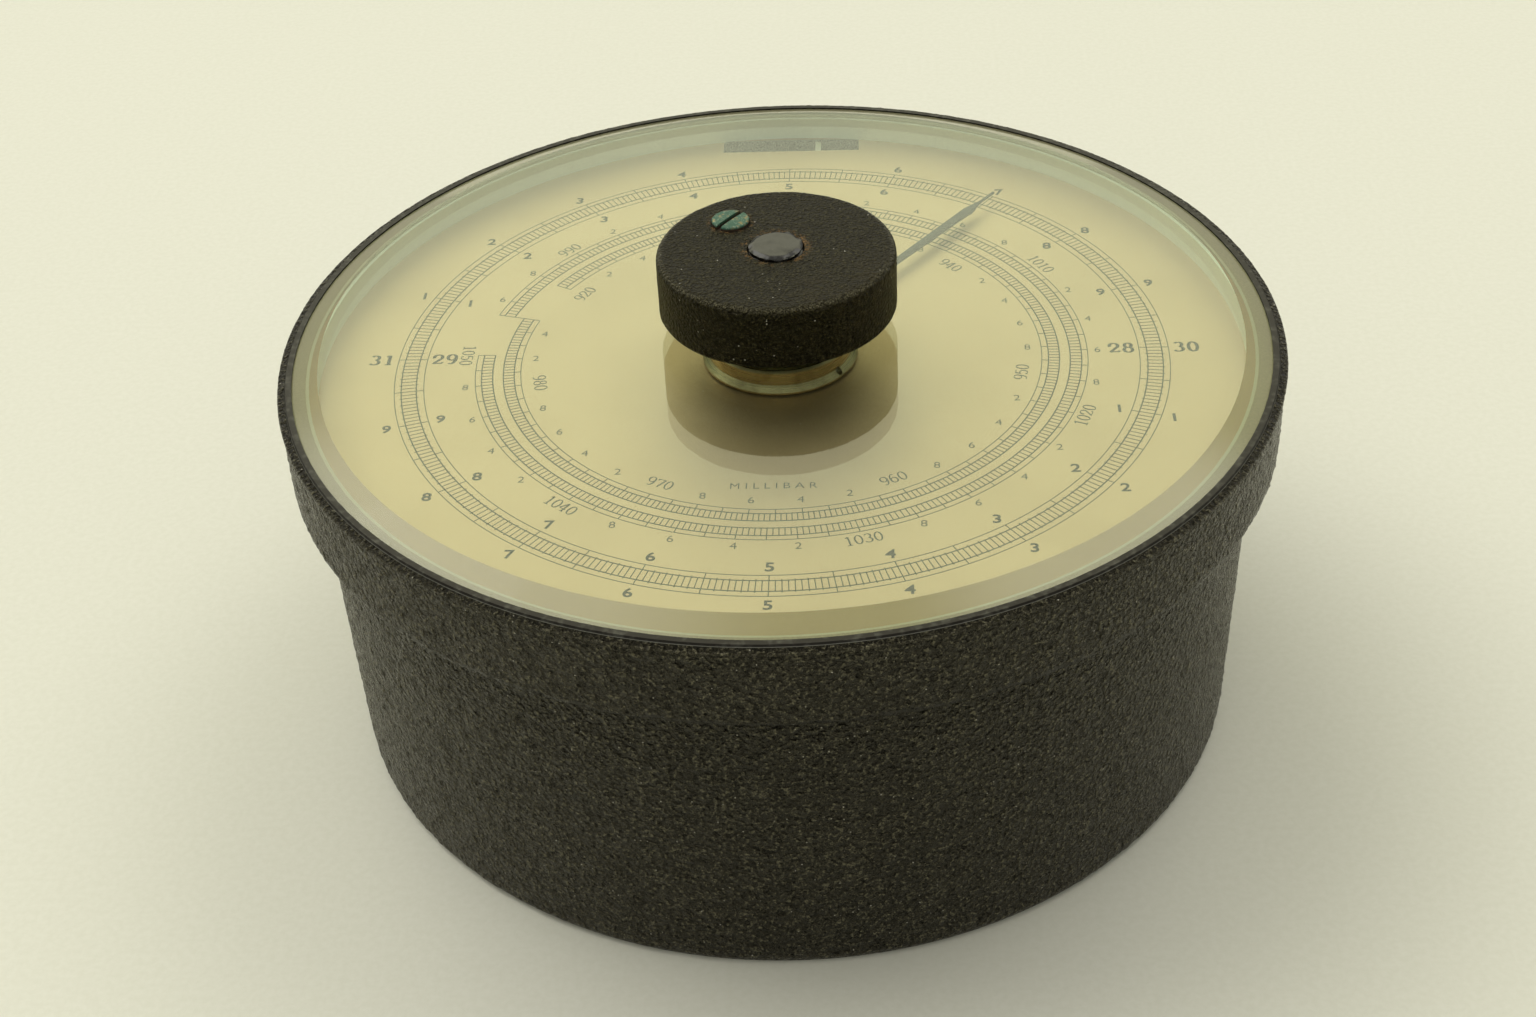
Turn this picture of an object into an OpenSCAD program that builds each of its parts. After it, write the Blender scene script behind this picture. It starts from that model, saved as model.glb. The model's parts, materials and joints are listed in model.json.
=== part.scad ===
// Precision aneroid barometer of the null-balance kind, in a round desk case.
// A knob turns the pointer and a measuring screw together. The screw stretches a
// spring that pulls the vacuum capsule open, and a small index in the dial's window
// shows when the spring and the air pressure balance.
// Millimetres. +Z is up, the origin is the centre of the underside, and six o'clock
// on the dial faces -Y.

/* [Case] */
// Outer radius of the case body at its mouth
case_r = 76.3; // [75:0.1:80]
// How much smaller the case radius is at its foot
case_taper = 1.2; // [0.4:0.1:2]
// Thickness of the case wall
case_wall = 1.6; // [1.4:0.1:2]
// Thickness of the case wall at its thinned mouth
mouth_wall = 1.0; // [0.8:0.1:1.1]
// Depth of the thinned mouth below the dial
mouth_depth = 10; // [6:0.5:16]
// Thickness of the case floor
floor_t = 2.0; // [1.8:0.1:3]
// Radius of the rounded foot edge
foot_round = 1.5; // [0.6:0.1:1.8]
// Height of the dial's face above the underside
dial_face_z = 59.3; // [57:0.1:68]
// Radius of the vent hole in the floor
vent_r = 1.0; // [0.6:0.1:1.5]

/* [Bezel and glass] */
// How far the bezel stands out from the case body
bezel_step = 3.7; // [3:0.1:5]
// Thickness of the bezel's wall beside the glass
bezel_wall = 1.3; // [1:0.1:1.6]
// Height of the bezel
bezel_h = 13.7; // [11:0.1:18]
// Chamfer on the bezel's edges
bezel_edge = 0.4; // [0.2:0.1:0.6]
// Thickness of the glass
glass_t = 4.0; // [3:0.1:6]
// Width of the bevel round the glass
bevel_w = 4.6; // [3:0.1:6]
// Height of the bevel round the glass
bevel_drop = 1.6; // [1:0.1:2]
// Radial thickness of the ring that holds the glass
retainer_w = 0.8; // [0.6:0.1:1.2]
// Thickness of the gasket under the glass
gasket_t = 0.3; // [0.2:0.1:0.6]
// Height of the bright ring between the dial and the glass
ring_h = 4.0; // [3.5:0.1:6]
// Radial width of the bright ring
ring_w = 4.5; // [3:0.1:5]

/* [Dial] */
// Thickness of the dial plate
dial_t = 0.8; // [0.5:0.1:1.2]
// Width of the window for the null index
window_w = 25.2; // [25:0.1:30]
// Depth of the window that shows inside the bright ring
window_open = 5.1; // [4.5:0.1:5.5]
// Depth of the dark screen below the window
screen_depth = 9; // [6:0.5:12]
// Wall thickness of the dark screen
screen_t = 0.4; // [0.3:0.1:0.6]
// Degrees that the pointer turns for one millibar
deg_per_mb = 5.315; // [5:0.005:5.6]
// Pressure shown, in millibars
reading_mb = 1005.9; // [990:0.1:1020]
// Lowest pressure on the scale, in millibars
scale_low_mb = 920; // [900:1:950]
// Highest pressure on the scale, in millibars
scale_high_mb = 1050; // [1030:1:1070]
// Direction of the pointer at that pressure, in degrees from three o'clock
pointer_angle = 52.9; // [0:0.1:360]

/* [Knob and pointer] */
// Radius of the knob
knob_r = 19; // [17:0.1:24]
// Height of the knob
knob_h = 10.4; // [9:0.1:14]
// Rounding of the knob's upper edge
knob_round = 1.5; // [0.5:0.1:2]
// Air between the glass and the knob
knob_gap = 3.4; // [3.2:0.1:5]
// Radius of the sealing plug in the knob
plug_r = 4.5; // [4.3:0.1:5.5]
// How far the sealing plug stands above the knob
plug_proud = 0.5; // [0.1:0.1:0.8]
// Radius of the knob screw's head
knob_screw_head_r = 3.05; // [2.6:0.05:3.2]
// Radius of the knob screw's shank
knob_screw_r = 1.5; // [1:0.1:1.8]
// Distance of the knob screw from the axis
knob_screw_out = 11.15; // [9.5:0.05:12]
// Direction of the knob screw, in degrees
knob_screw_angle = 131.9; // [0:0.1:360]
// Radius of the plate that carries the knob
carrier_r = 14.5; // [14:0.1:16]
// Thickness of the plate that carries the knob
carrier_t = 1.5; // [1.2:0.1:1.8]
// Radius of the arbor in its bearings
arbor_r = 4.0; // [3.5:0.1:4.2]
// Radius of the arbor inside the knob
knob_stem_r = 3.0; // [2.4:0.1:3.2]
// Radius of the pointer's hub
hub_r = 11.6; // [11:0.1:14]
// Width of the foot flange round the hub
hub_flange = 0.9; // [0.5:0.1:1.5]
// Distance from the axis to the pointer's tip
pointer_reach = 60.5; // [50:0.5:66]
// Widest part of the pointer
pointer_w = 1.7; // [1.2:0.1:2.6]
// Thickness of the pointer
pointer_t = 0.4; // [0.3:0.1:0.5]

/* [Glass bush] */
// Wall of the bush that carries the arbor through the glass
bush_wall = 2.0; // [1.6:0.1:2.2]
// Thickness of the bush's head above the glass
bush_head_t = 1.1; // [0.8:0.1:1.2]
// Radius of the bush's head
bush_head_r = 9.5; // [8.5:0.1:11]
// Thickness of the washer under the bush's head
washer_t = 0.4; // [0.3:0.1:0.5]
// Radius of the nut that holds the bush
bush_nut_r = 8.5; // [7.5:0.1:8.8]
// Thickness of the nut that holds the bush
bush_nut_t = 1.7; // [1.2:0.1:1.8]

/* [Movement] */
// Thickness of the base plate
base_t = 2.5; // [2:0.1:4]
// Thickness of the upper plate
plate_t = 2.0; // [1.6:0.1:3]
// Distance from the upper plate to the dial
dial_foot_h = 6.0; // [5.6:0.1:8]
// Radius of the pillars
pillar_r = 3.0; // [2.4:0.1:4]
// Travel of the carriage for one turn of the screw
screw_lead = 2.0; // [1.6:0.05:2.1]
// Radius of the measuring screw
screw_r = 3.5; // [3:0.1:3.6]
// Height of the carriage nut
carriage_h = 6.0; // [5:0.1:7]
// Radius of the guide rods
rod_r = 1.5; // [1.2:0.1:2]
// Distance of the guide rods from the axis
rod_out = 20; // [19:0.5:26]
// Mean radius of the measuring spring
spring_r = 10; // [9:0.1:11]
// Diameter of the spring wire
spring_wire = 1.4; // [0.8:0.1:1.6]
// Turns of the measuring spring
spring_turns = 7; // [5:0.5:8]

/* [Capsule] */
// Radius of the vacuum capsule
capsule_r = 30; // [26:0.5:32]
// Height of the vacuum capsule
capsule_h = 11; // [9:0.1:12]
// Thickness of the capsule's sheet
sheet_t = 0.5; // [0.4:0.1:0.6]
// Depth of the capsule's corrugations
wave_depth = 0.9; // [0.4:0.1:1.2]
// Height of the post under the capsule
post_h = 3.0; // [2.5:0.1:4]

/* [Null lever] */
// Thickness of the lever
lever_t = 2.0; // [1.6:0.1:2.4]
// Width of the lever
lever_w = 5.0; // [4:0.1:6]
// Length of the crank on the null staff
crank_len = 4.0; // [3.6:0.1:4.2]
// Radius of the crank's pin
crank_pin_r = 0.6; // [0.4:0.1:0.7]
// Radius of the null staff
staff_r = 1.0; // [0.8:0.1:1.2]
// Width of the null index
index_w = 1.0; // [0.8:0.1:1.3]
// Lean of the null index at rest, in degrees
index_lean = 8.4; // [0:0.1:12]

/* [Fits] */
// Radial clearance of every turning or sliding fit
run_fit = 0.05; // [0.02:0.01:0.08]
// Radial clearance of pieces that are assembled and stay put
still_fit = 0.02; // [0.01:0.01:0.05]
// Air kept between pieces that move past each other
air = 0.35; // [0.3:0.05:0.4]

/* [Hidden] */
$fn = 96;
eps = 0.01;

// Heights from the underside upwards
base_z = floor_t;
base_top = base_z + base_t;
seat_z = dial_face_z - dial_t;
ring_top = dial_face_z + ring_h;
glass_z = ring_top + gasket_t;
glass_top = glass_z + glass_t;
rim_z = glass_top - bevel_drop;
bezel_z = rim_z - bezel_h;
washer_top = glass_top + washer_t;
knob_z = glass_top + knob_gap;
knob_top = knob_z + knob_h;
carrier_z = knob_z - carrier_t;
plate_top = seat_z - dial_foot_h;
plate_z = plate_top - plate_t;

// Radii of the case, the bezel and what they hold
base_r = case_r - case_taper;
bezel_r = case_r + bezel_step;
bezel_in_r = bezel_r - bezel_wall;
mouth_r = case_r - mouth_wall;
glass_r = bezel_in_r - retainer_w;
ring_out_r = bezel_in_r - still_fit;
ring_in_r = ring_out_r - ring_w;
dial_r = bezel_in_r - still_fit;
base_plate_r = base_r - case_wall - 2;
bush_r = arbor_r + run_fit + bush_wall;
glass_hole_r = bush_r + 0.4;

// Window in the dial
window_y = ring_in_r - window_open;
window_end = mouth_r - still_fit;
screen_gap = 0.4;
screen_reach = 3.6;

// Hub and pointer
hub_z = dial_face_z + air;
hub_top = glass_z - air;
hub_flange_t = 0.3;
hub_recess_r = bush_nut_r + 0.6;
bush_nut_z = glass_z - bush_nut_t;
hub_floor = bush_nut_z - air;
pointer_z = hub_z + 1.35;
pointer_root = hub_recess_r + 0.3;
grub_r = 0.8;

// Bearing in the upper plate, and the thrust collar below it
plate_bush_wall = 1.6;
plate_bush_head = 1.5;
end_shake = 0.1;
shoulder_t = 2.0;
shoulder_z = plate_top + plate_bush_head + end_shake;
dial_hole_r = arbor_r + 2.2;
collar_t = 2.4;
collar_wall = 3.5;
collar_r = screw_r + collar_wall;
nut_wall = 4;
ear_rise = 1.5;
collar_z = plate_z - end_shake - collar_t;

// Carriage: its travel follows the scale and the lead of the screw
turn_up = (scale_high_mb - reading_mb) * deg_per_mb;
turn_down = (reading_mb - scale_low_mb) * deg_per_mb;
lift_up = screw_lead * turn_up / 360;
lift_down = screw_lead * turn_down / 360;
carriage_top = collar_z - air - lift_up;
carriage_z = carriage_top - carriage_h;
flange_t = 2.0;
flange_r = spring_r + spring_wire / 2 + 1.2;
ear_r = rod_r + 2.5;
stop_t = 2.5;
stop_top = carriage_z - lift_down - air;
stop_r = screw_r + 1.8;
screw_end = stop_top - stop_t - 0.5;
rod_end = carriage_z - lift_down - 2;

// Capsule and stud
capsule_z = base_top + post_h;
capsule_mid = capsule_z + capsule_h / 2;
capsule_top = capsule_z + capsule_h;
capsule_hub_r = 6;
capsule_rim_w = 2;
capsule_side_w = 2;
wave_count = 4;
profile_steps = 40;
stud_collar_r = 5;
stud_collar_h = 2.35;
stud_r = 2.5;
contact_gap = 0.15;
lever_z = capsule_top + stud_collar_h + contact_gap;
lever_mid = lever_z + lever_t / 2;
seat_gap = 1.0;
spring_seat_z = lever_z + lever_t + seat_gap;
spring_seat_t = 1.5;
spring_z = spring_seat_z + spring_seat_t;

// Pillars stand clear of the capsule, and the plates follow them
pillar_clear = 15;
plate_rim = 4;
floor_screw_clear = 9;
pillar_circle = capsule_r + pillar_clear;
pillar_angles = [45, 135, 225, 315];
plate_r = pillar_circle + pillar_r + plate_rim;
floor_screw_circle = pillar_circle + floor_screw_clear;
foot_circle = 36;
dial_foot_r = 2;

// Lever: the fulcrum stands clear of the capsule, the tab reaches the crank
fulcrum_clear = 8;
fulcrum_y = -(capsule_r + fulcrum_clear);
fulcrum_r = 1.2;
cheek_t = 3;
cheek_w = 8;
cheek_gap = 1.5;
cheek_in = lever_w / 2 + cheek_gap;
cheek_out = cheek_in + cheek_t;
cheek_cover = 2;
bracket_t = 2;
bracket_back = 13;
screw_back = 9;
boss_wall = 1;
lever_tail = 3;
eye_w = 4;
eye_gap = 0.8;
tab_len = 3.6;
tab_out = 2.5;

// Null staff, along Y under the window
staff_end = ring_in_r - 2;
needle_y = staff_end - 1.2;
upright_t = 2;
upright_w = 8;
upright_cover = 2.5;
null_foot_len = 8.5;
null_foot_w = 18;
null_screw_out = 6.4;
upright_far = needle_y - 3;
upright_near = upright_far - null_foot_len;
crank_y = upright_near - 1.2;
crank_t = 1.4;
crank_pin_len = 3.6;
tab_end = crank_y - crank_t - air;
tab_gap = 0.2;
tab_top = lever_z + lever_t;
staff_z = tab_top + tab_gap + crank_pin_r + crank_len * sin(index_lean);
index_t = 0.4;
index_top = dial_face_z - 0.4;
index_out = index_top - staff_z;
index_y = window_y + air;
index_len = mouth_r - 1.3 - index_y;
needle_r = 0.45;
collet_r = 2.2;
tail_root = staff_r + 0.4;
tail_len = 8;
weight_r = 2.4;

BLACK = [0.17, 0.165, 0.155];
BRASS = [0.72, 0.58, 0.30];
NICKEL = [0.72, 0.69, 0.60];
SILVER = [0.78, 0.78, 0.75];
STEEL = [0.45, 0.46, 0.48];
CHAMPAGNE = [0.82, 0.77, 0.58];

// Round hollow piece between two heights
module ring(r_out, r_in, z0, z1) {
    translate([0, 0, z0]) difference() {
        cylinder(r = r_out, h = z1 - z0);
        translate([0, 0, -1]) cylinder(r = r_in, h = z1 - z0 + 2);
    }
}

// Upright pin between two heights
module post(r, z0, z1) {
    translate([0, 0, z0]) cylinder(r = r, h = z1 - z0);
}

// Slotted cheese-head screw standing on z = 0, shank down
module cheese_screw(head_r, head_h, shank_r, shank_len) {
    difference() {
        cylinder(r = head_r, h = head_h);
        translate([-head_r - 1, -head_r * 0.12, head_h * 0.55])
            cube([2 * head_r + 2, head_r * 0.24, head_h]);
    }
    translate([0, 0, -shank_len]) cylinder(r = shank_r, h = shank_len + eps);
}

// Round pin or bore along Y
module along_y(r, y0, y1) {
    translate([0, y0, 0]) rotate([-90, 0, 0]) cylinder(r = r, h = y1 - y0);
}

// ---- case ----

floor_screw_r = 1.5;
floor_screw_head_r = 3.0;
floor_screw_head_h = 1.3;
vent_inset = 10;
vent_out = base_plate_r - vent_inset;
vent_angle = -65;

module floor_holes() {
    for (a = pillar_angles)
        rotate(a) translate([floor_screw_circle, 0, -1]) {
            cylinder(r = floor_screw_r + still_fit, h = floor_t + 2);
            cylinder(r = floor_screw_head_r + 0.1, h = 1 + floor_screw_head_h);
        }
    rotate(vent_angle) translate([vent_out, 0, 0]) post(vent_r, -1, floor_t + 1);
}

module case_body() {
    color(BLACK) difference() {
        rotate_extrude() polygon(concat(
            [[0, 0]],
            [for (a = [0:15:90])
                [base_r - foot_round + foot_round * sin(a), foot_round - foot_round * cos(a)]],
            [[case_r, bezel_z], [case_r, seat_z], [mouth_r, seat_z],
             [mouth_r, seat_z - mouth_depth], [case_r - case_wall, seat_z - mouth_depth - 1],
             [base_r - case_wall, floor_t], [0, floor_t]]));
        floor_holes();
    }
}

module bezel() {
    fit_r = case_r + still_fit;
    color(BLACK) rotate_extrude() polygon([
        [fit_r, bezel_z], [bezel_r - bezel_edge, bezel_z], [bezel_r, bezel_z + bezel_edge],
        [bezel_r, rim_z - bezel_edge], [bezel_r - bezel_edge, rim_z], [bezel_in_r, rim_z],
        [bezel_in_r, seat_z], [fit_r, seat_z]]);
}

module glass() {
    color([0.75, 0.85, 0.78, 0.4]) rotate_extrude() polygon([
        [glass_hole_r, glass_z], [glass_r, glass_z], [glass_r, rim_z],
        [glass_r - bevel_w, glass_top], [glass_hole_r, glass_top]]);
}

// Thin ring whose lip lies on the foot of the bevel
module glass_retaining_ring() {
    lip = 0.35;
    in_r = glass_r + still_fit;
    out_r = bezel_in_r - still_fit;
    lip_in = glass_r - lip;
    lip_z = rim_z + lip * bevel_drop / bevel_w + still_fit;
    color(NICKEL) rotate_extrude() polygon([
        [in_r, glass_z], [out_r, glass_z], [out_r, rim_z], [out_r - 0.2, lip_z + 0.25],
        [lip_in, lip_z + 0.25], [lip_in, lip_z], [in_r, rim_z + still_fit]]);
}

module glass_gasket() {
    color([0.25, 0.22, 0.18]) ring(glass_r - 0.1, ring_in_r + 0.6, ring_top, glass_z);
}

module bright_ring() {
    color(SILVER) ring(ring_out_r, ring_in_r, dial_face_z, ring_top);
}

module dial_plate() {
    color(CHAMPAGNE) difference() {
        ring(dial_r, dial_hole_r, seat_z, dial_face_z);
        translate([-window_w / 2, window_y, seat_z - 1])
            cube([window_w, window_end - window_y - 0.4, dial_t + 2]);
    }
}

// Blackened three-sided screen below the window, open towards the case wall
module window_screen() {
    wide = window_w + 2 * screen_t + screen_gap;
    y0 = window_y - screen_gap - screen_t;
    z0 = seat_z - screen_depth;
    color([0.06, 0.06, 0.06]) difference() {
        translate([-wide / 2, y0, z0]) cube([wide, screen_reach, screen_depth]);
        translate([-wide / 2 + screen_t, y0 + screen_t, z0 - 1])
            cube([wide - 2 * screen_t, screen_reach, screen_depth + 2]);
    }
}

module glass_bush() {
    color(NICKEL) difference() {
        union() {
            post(bush_r, bush_nut_z, washer_top + eps);
            post(bush_head_r, washer_top, washer_top + bush_head_t);
        }
        post(arbor_r + run_fit, bush_nut_z - 1, washer_top + bush_head_t + 1);
    }
}

module glass_bush_washer() {
    color([0.35, 0.25, 0.16])
        ring(bush_head_r, bush_r + still_fit, glass_top, washer_top);
}

module glass_bush_nut() {
    color(NICKEL) difference() {
        ring(bush_nut_r, bush_r + still_fit, bush_nut_z, glass_z);
        for (a = [0, 90])
            rotate(a) translate([-bush_nut_r - 1, -0.6, bush_nut_z - 1])
                cube([2 * bush_nut_r + 2, 1.2, 1.6]);
    }
}

// ---- fixed movement ----

module base_plate() {
    color(BRASS) difference() {
        post(base_plate_r, base_z, base_top);
        for (a = pillar_angles)
            rotate(a) translate([floor_screw_circle, 0, base_z - 1])
                cylinder(r = floor_screw_r + still_fit, h = base_t + 2);
        rotate(vent_angle) translate([vent_out, 0, 0]) post(vent_r, base_z - 1, base_top + 1);
        bracket_screw_places() post(bracket_screw_r + still_fit, base_z - 1, base_top + 1);
    }
}

bracket_screw_r = 0.9;
bracket_screw_head_r = 1.7;
bracket_screw_head_h = 1.2;

module lever_screw_places() {
    for (x = [-1, 1])
        translate([x * (cheek_in + 0.5), fulcrum_y - screw_back, 0]) children();
}

module null_screw_places() {
    for (x = [-1, 1])
        translate([x * null_screw_out, (upright_near + upright_far + upright_t) / 2, 0]) children();
}

module bracket_screw_places() {
    lever_screw_places() children();
    null_screw_places() children();
}

module floor_screws() {
    color(BRASS) for (a = pillar_angles)
        rotate(a) translate([floor_screw_circle, 0, 0]) mirror([0, 0, 1])
            translate([0, 0, -floor_screw_head_h])
                cheese_screw(floor_screw_head_r, floor_screw_head_h, floor_screw_r,
                             floor_t + base_t - floor_screw_head_h);
}

module pillars() {
    color(BRASS) for (a = pillar_angles)
        rotate(a) translate([pillar_circle, 0, 0]) {
            post(pillar_r, base_top, plate_z);
            post(pillar_r + 1.2, base_top, base_top + 1.5);
            post(pillar_r + 0.8, plate_z - 1.5, plate_z);
        }
}

plate_screw_r = 1.2;

module upper_plate() {
    color(BRASS) difference() {
        post(plate_r, plate_z, plate_top);
        post(arbor_r + run_fit + plate_bush_wall + still_fit, plate_z - 1, plate_top + 1);
        for (a = pillar_angles)
            rotate(a) translate([pillar_circle, 0, 0])
                post(plate_screw_r + still_fit, plate_z - 1, plate_top + 1);
    }
}

module plate_screws() {
    color(STEEL) for (a = pillar_angles)
        rotate(a) translate([pillar_circle, 0, plate_top])
            cheese_screw(plate_screw_r + 1.3, 1.4, plate_screw_r, plate_t);
}

module dial_feet() {
    color(BRASS) for (a = [0:90:270])
        rotate(a) translate([foot_circle, 0, 0]) post(dial_foot_r, plate_top, seat_z);
}

module plate_bush() {
    bore_r = arbor_r + run_fit;
    color(BRASS) difference() {
        union() {
            post(bore_r + plate_bush_wall, plate_z, plate_top + eps);
            post(bore_r + plate_bush_wall + 1.6, plate_top, plate_top + plate_bush_head);
        }
        post(bore_r, plate_z - 1, plate_top + plate_bush_head + 1);
    }
}

module guide_rods() {
    color(STEEL) for (x = [-rod_out, rod_out])
        translate([x, 0, 0]) {
            post(rod_r, rod_end, plate_z);
            post(rod_r + 1, plate_z - 1.2, plate_z);
        }
}

// ---- capsule ----

function shell_rise(r) =
    r < capsule_hub_r ? 1 :
    r > capsule_r - capsule_rim_w ? 0 :
    r > capsule_r - capsule_rim_w - capsule_side_w
        ? (capsule_r - capsule_rim_w - r) / capsule_side_w
        : 1;

function wave(r) =
    let (span = capsule_r - capsule_rim_w - capsule_side_w - capsule_hub_r)
    r < capsule_hub_r || r > capsule_hub_r + span ? 0 :
    wave_depth * (1 - cos(360 * wave_count * (r - capsule_hub_r) / span)) / 2;

// Height of the outside of one capsule half above the capsule's middle plane
function half_height(r) =
    max(sheet_t, (capsule_h / 2) * shell_rise(r) - wave(r));

module capsule_half() {
    steps = [for (i = [0:profile_steps]) capsule_r * i / profile_steps];
    outside = [for (r = steps) [r, half_height(r)]];
    inside = [for (i = [profile_steps:-1:0])
        [steps[i], half_height(steps[i]) - sheet_t + still_fit]];
    rotate_extrude() polygon(concat(outside, inside));
}

module capsule_lower() {
    color(NICKEL) translate([0, 0, capsule_mid]) mirror([0, 0, 1]) capsule_half();
}

module capsule_upper() {
    color(NICKEL) translate([0, 0, capsule_mid]) capsule_half();
}

module capsule_post() {
    color(BRASS) post(capsule_hub_r - 1, base_top, capsule_z);
}

module capsule_stud() {
    color(BRASS) {
        post(stud_collar_r, capsule_top, capsule_top + stud_collar_h);
        post(stud_r, capsule_top, spring_z);
    }
}

module spring_seat() {
    color(BRASS) {
        ring(flange_r, stud_r + still_fit, spring_seat_z, spring_z);
        ring(spring_r - spring_wire / 2 - 0.2, stud_r + still_fit, spring_seat_z, spring_z + 1.2);
    }
}

// Round wire swept along a helix, as rings of points joined by side faces
wire_sides = 8;
steps_per_turn = 20;

function helix_point(t, rise) =
    [spring_r * cos(360 * t), spring_r * sin(360 * t), rise * t];

function wire_ring(t, rise) =
    let (tilt = atan(rise / (2 * PI * spring_r)), c = helix_point(t, rise), a = 360 * t)
    [for (k = [0:wire_sides - 1])
        let (u = spring_wire / 2 * cos(360 * k / wire_sides),
             v = spring_wire / 2 * sin(360 * k / wire_sides))
        [c[0] + u * cos(a) + v * sin(tilt) * sin(a),
         c[1] + u * sin(a) - v * sin(tilt) * cos(a),
         c[2] + v * cos(tilt)]];

module measuring_spring() {
    rings = spring_turns * steps_per_turn;
    room = carriage_z - spring_z - spring_wire - 2 * still_fit - 0.1;
    rise = room / spring_turns;
    points = [for (i = [0:rings]) each wire_ring(i / steps_per_turn, rise)];
    sides = [for (i = [0:rings - 1], k = [0:wire_sides - 1])
        let (n = (k + 1) % wire_sides, p = i * wire_sides, q = p + wire_sides)
        [p + k, q + k, q + n, p + n]];
    ends = [[for (k = [0:wire_sides - 1]) k],
            [for (k = [wire_sides - 1:-1:0]) rings * wire_sides + k]];
    color(STEEL) translate([0, 0, spring_z + spring_wire / 2 + still_fit + 0.05])
        polyhedron(points, concat(sides, ends), convexity = 10);
}

module carriage_nut() {
    color(BRASS) difference() {
        union() {
            post(screw_r + nut_wall, carriage_z, carriage_top);
            post(flange_r, carriage_z, carriage_z + flange_t);
            translate([-rod_out, -ear_r, carriage_z]) cube([2 * rod_out, 2 * ear_r, flange_t]);
            for (x = [-rod_out, rod_out])
                translate([x, 0, 0]) post(ear_r, carriage_z, carriage_z + flange_t + ear_rise);
        }
        post(screw_r + run_fit, carriage_z - 1, carriage_top + 1);
        for (x = [-rod_out, rod_out])
            translate([x, 0, 0]) post(rod_r + run_fit, carriage_z - 1, carriage_top + 1);
    }
}

// ---- lever and null index ----

module lever_bracket() {
    cheek_h = lever_mid + fulcrum_r + cheek_cover - base_top;
    color(BRASS) difference() {
        union() {
            for (x = [-cheek_out, cheek_in])
                translate([x, fulcrum_y - cheek_w / 2, base_top]) cube([cheek_t, cheek_w, cheek_h]);
            translate([-cheek_out, fulcrum_y - bracket_back, base_top])
                cube([2 * cheek_out, bracket_back + cheek_w / 2, bracket_t]);
        }
        translate([-cheek_out - 1, fulcrum_y, lever_mid]) rotate([0, 90, 0])
            cylinder(r = fulcrum_r + run_fit, h = 2 * cheek_out + 2);
        lever_screw_places() post(bracket_screw_r + still_fit, base_top - 1, base_top + bracket_t + 1);
    }
}

module bracket_screw() {
    translate([0, 0, base_top + bracket_t])
        cheese_screw(bracket_screw_head_r, bracket_screw_head_h, bracket_screw_r,
                     bracket_t + base_t - 0.2);
}

module lever_bracket_screws() {
    color(STEEL) lever_screw_places() bracket_screw();
}

module balance_lever() {
    tab_y = tab_end - tab_len;
    tail_y = fulcrum_y - lever_tail;
    boss_r = fulcrum_r + boss_wall;
    color(BRASS) difference() {
        union() {
            translate([-lever_w / 2, tail_y, lever_z])
                cube([lever_w, tab_end - tail_y, lever_t]);
            post(stud_r + eye_w, lever_z, lever_z + lever_t);
            translate([-lever_w / 2, tab_y, lever_z])
                cube([lever_w / 2 + crank_len + tab_out, tab_len, lever_t]);
            translate([-lever_w / 2, tail_y, lever_mid - boss_r])
                cube([lever_w, 2 * lever_tail, 2 * boss_r]);
        }
        post(stud_r + eye_gap, lever_z - 1, lever_z + lever_t + 1);
        translate([-lever_w / 2 - 1, fulcrum_y, lever_mid]) rotate([0, 90, 0])
            cylinder(r = fulcrum_r + still_fit, h = lever_w + 2);
    }
}

module lever_pin() {
    color(STEEL) translate([-cheek_out, fulcrum_y, lever_mid]) rotate([0, 90, 0])
        cylinder(r = fulcrum_r, h = 2 * cheek_out);
}

module null_bracket() {
    height = staff_z + staff_r + upright_cover - base_top;
    color(BRASS) difference() {
        union() {
            for (y = [upright_near, upright_far - upright_t])
                translate([-upright_w / 2, y, base_top]) cube([upright_w, upright_t, height]);
            translate([-null_foot_w / 2, upright_near, base_top])
                cube([null_foot_w, null_foot_len, bracket_t]);
        }
        translate([0, 0, staff_z]) along_y(staff_r + run_fit, upright_near - 1, upright_far + 1);
        null_screw_places() post(bracket_screw_r + still_fit, base_top - 1, base_top + bracket_t + 1);
    }
}

module null_bracket_screws() {
    color(STEEL) null_screw_places() bracket_screw();
}

// The null pieces are drawn upright about their staff, then leaned to rest
module on_staff() {
    translate([0, 0, staff_z]) rotate([0, index_lean, 0]) children();
}

module null_staff() {
    color(STEEL) on_staff() along_y(staff_r, crank_y - crank_t, staff_end);
}

module null_crank() {
    color(BRASS) on_staff() difference() {
        union() {
            along_y(collet_r, crank_y - crank_t, crank_y);
            translate([0, crank_y - crank_t, -1.1]) cube([crank_len, crank_t, 2.2]);
            translate([crank_len, 0, 0]) along_y(1.1, crank_y - crank_t, crank_y);
            translate([crank_len, 0, 0])
                along_y(crank_pin_r, crank_y - crank_t - crank_pin_len, crank_y - crank_t + eps);
        }
        along_y(staff_r + still_fit, crank_y - crank_t - 1, crank_y + 1);
    }
}

module null_index() {
    color([0.86, 0.85, 0.78]) on_staff() difference() {
        union() {
            along_y(collet_r, needle_y - 1.2, needle_y + 1);
            translate([0, needle_y, 0]) cylinder(r = needle_r, h = index_out - index_t + eps);
            translate([-index_w / 2, index_y, index_out - index_t]) cube([index_w, index_len, index_t]);
        }
        along_y(staff_r + still_fit, needle_y - 3, needle_y + 3);
        translate([0, needle_y, 0]) post(needle_r + still_fit, -collet_r - 1, -tail_root + still_fit);
    }
}

module null_weight() {
    color(BRASS) on_staff() {
        translate([0, needle_y, 0]) post(needle_r, -tail_len, -tail_root);
        translate([0, 0, -tail_len]) along_y(weight_r, needle_y - 0.9, needle_y + 0.9);
    }
}

// ---- arbor, pointer and knob ----

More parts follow.
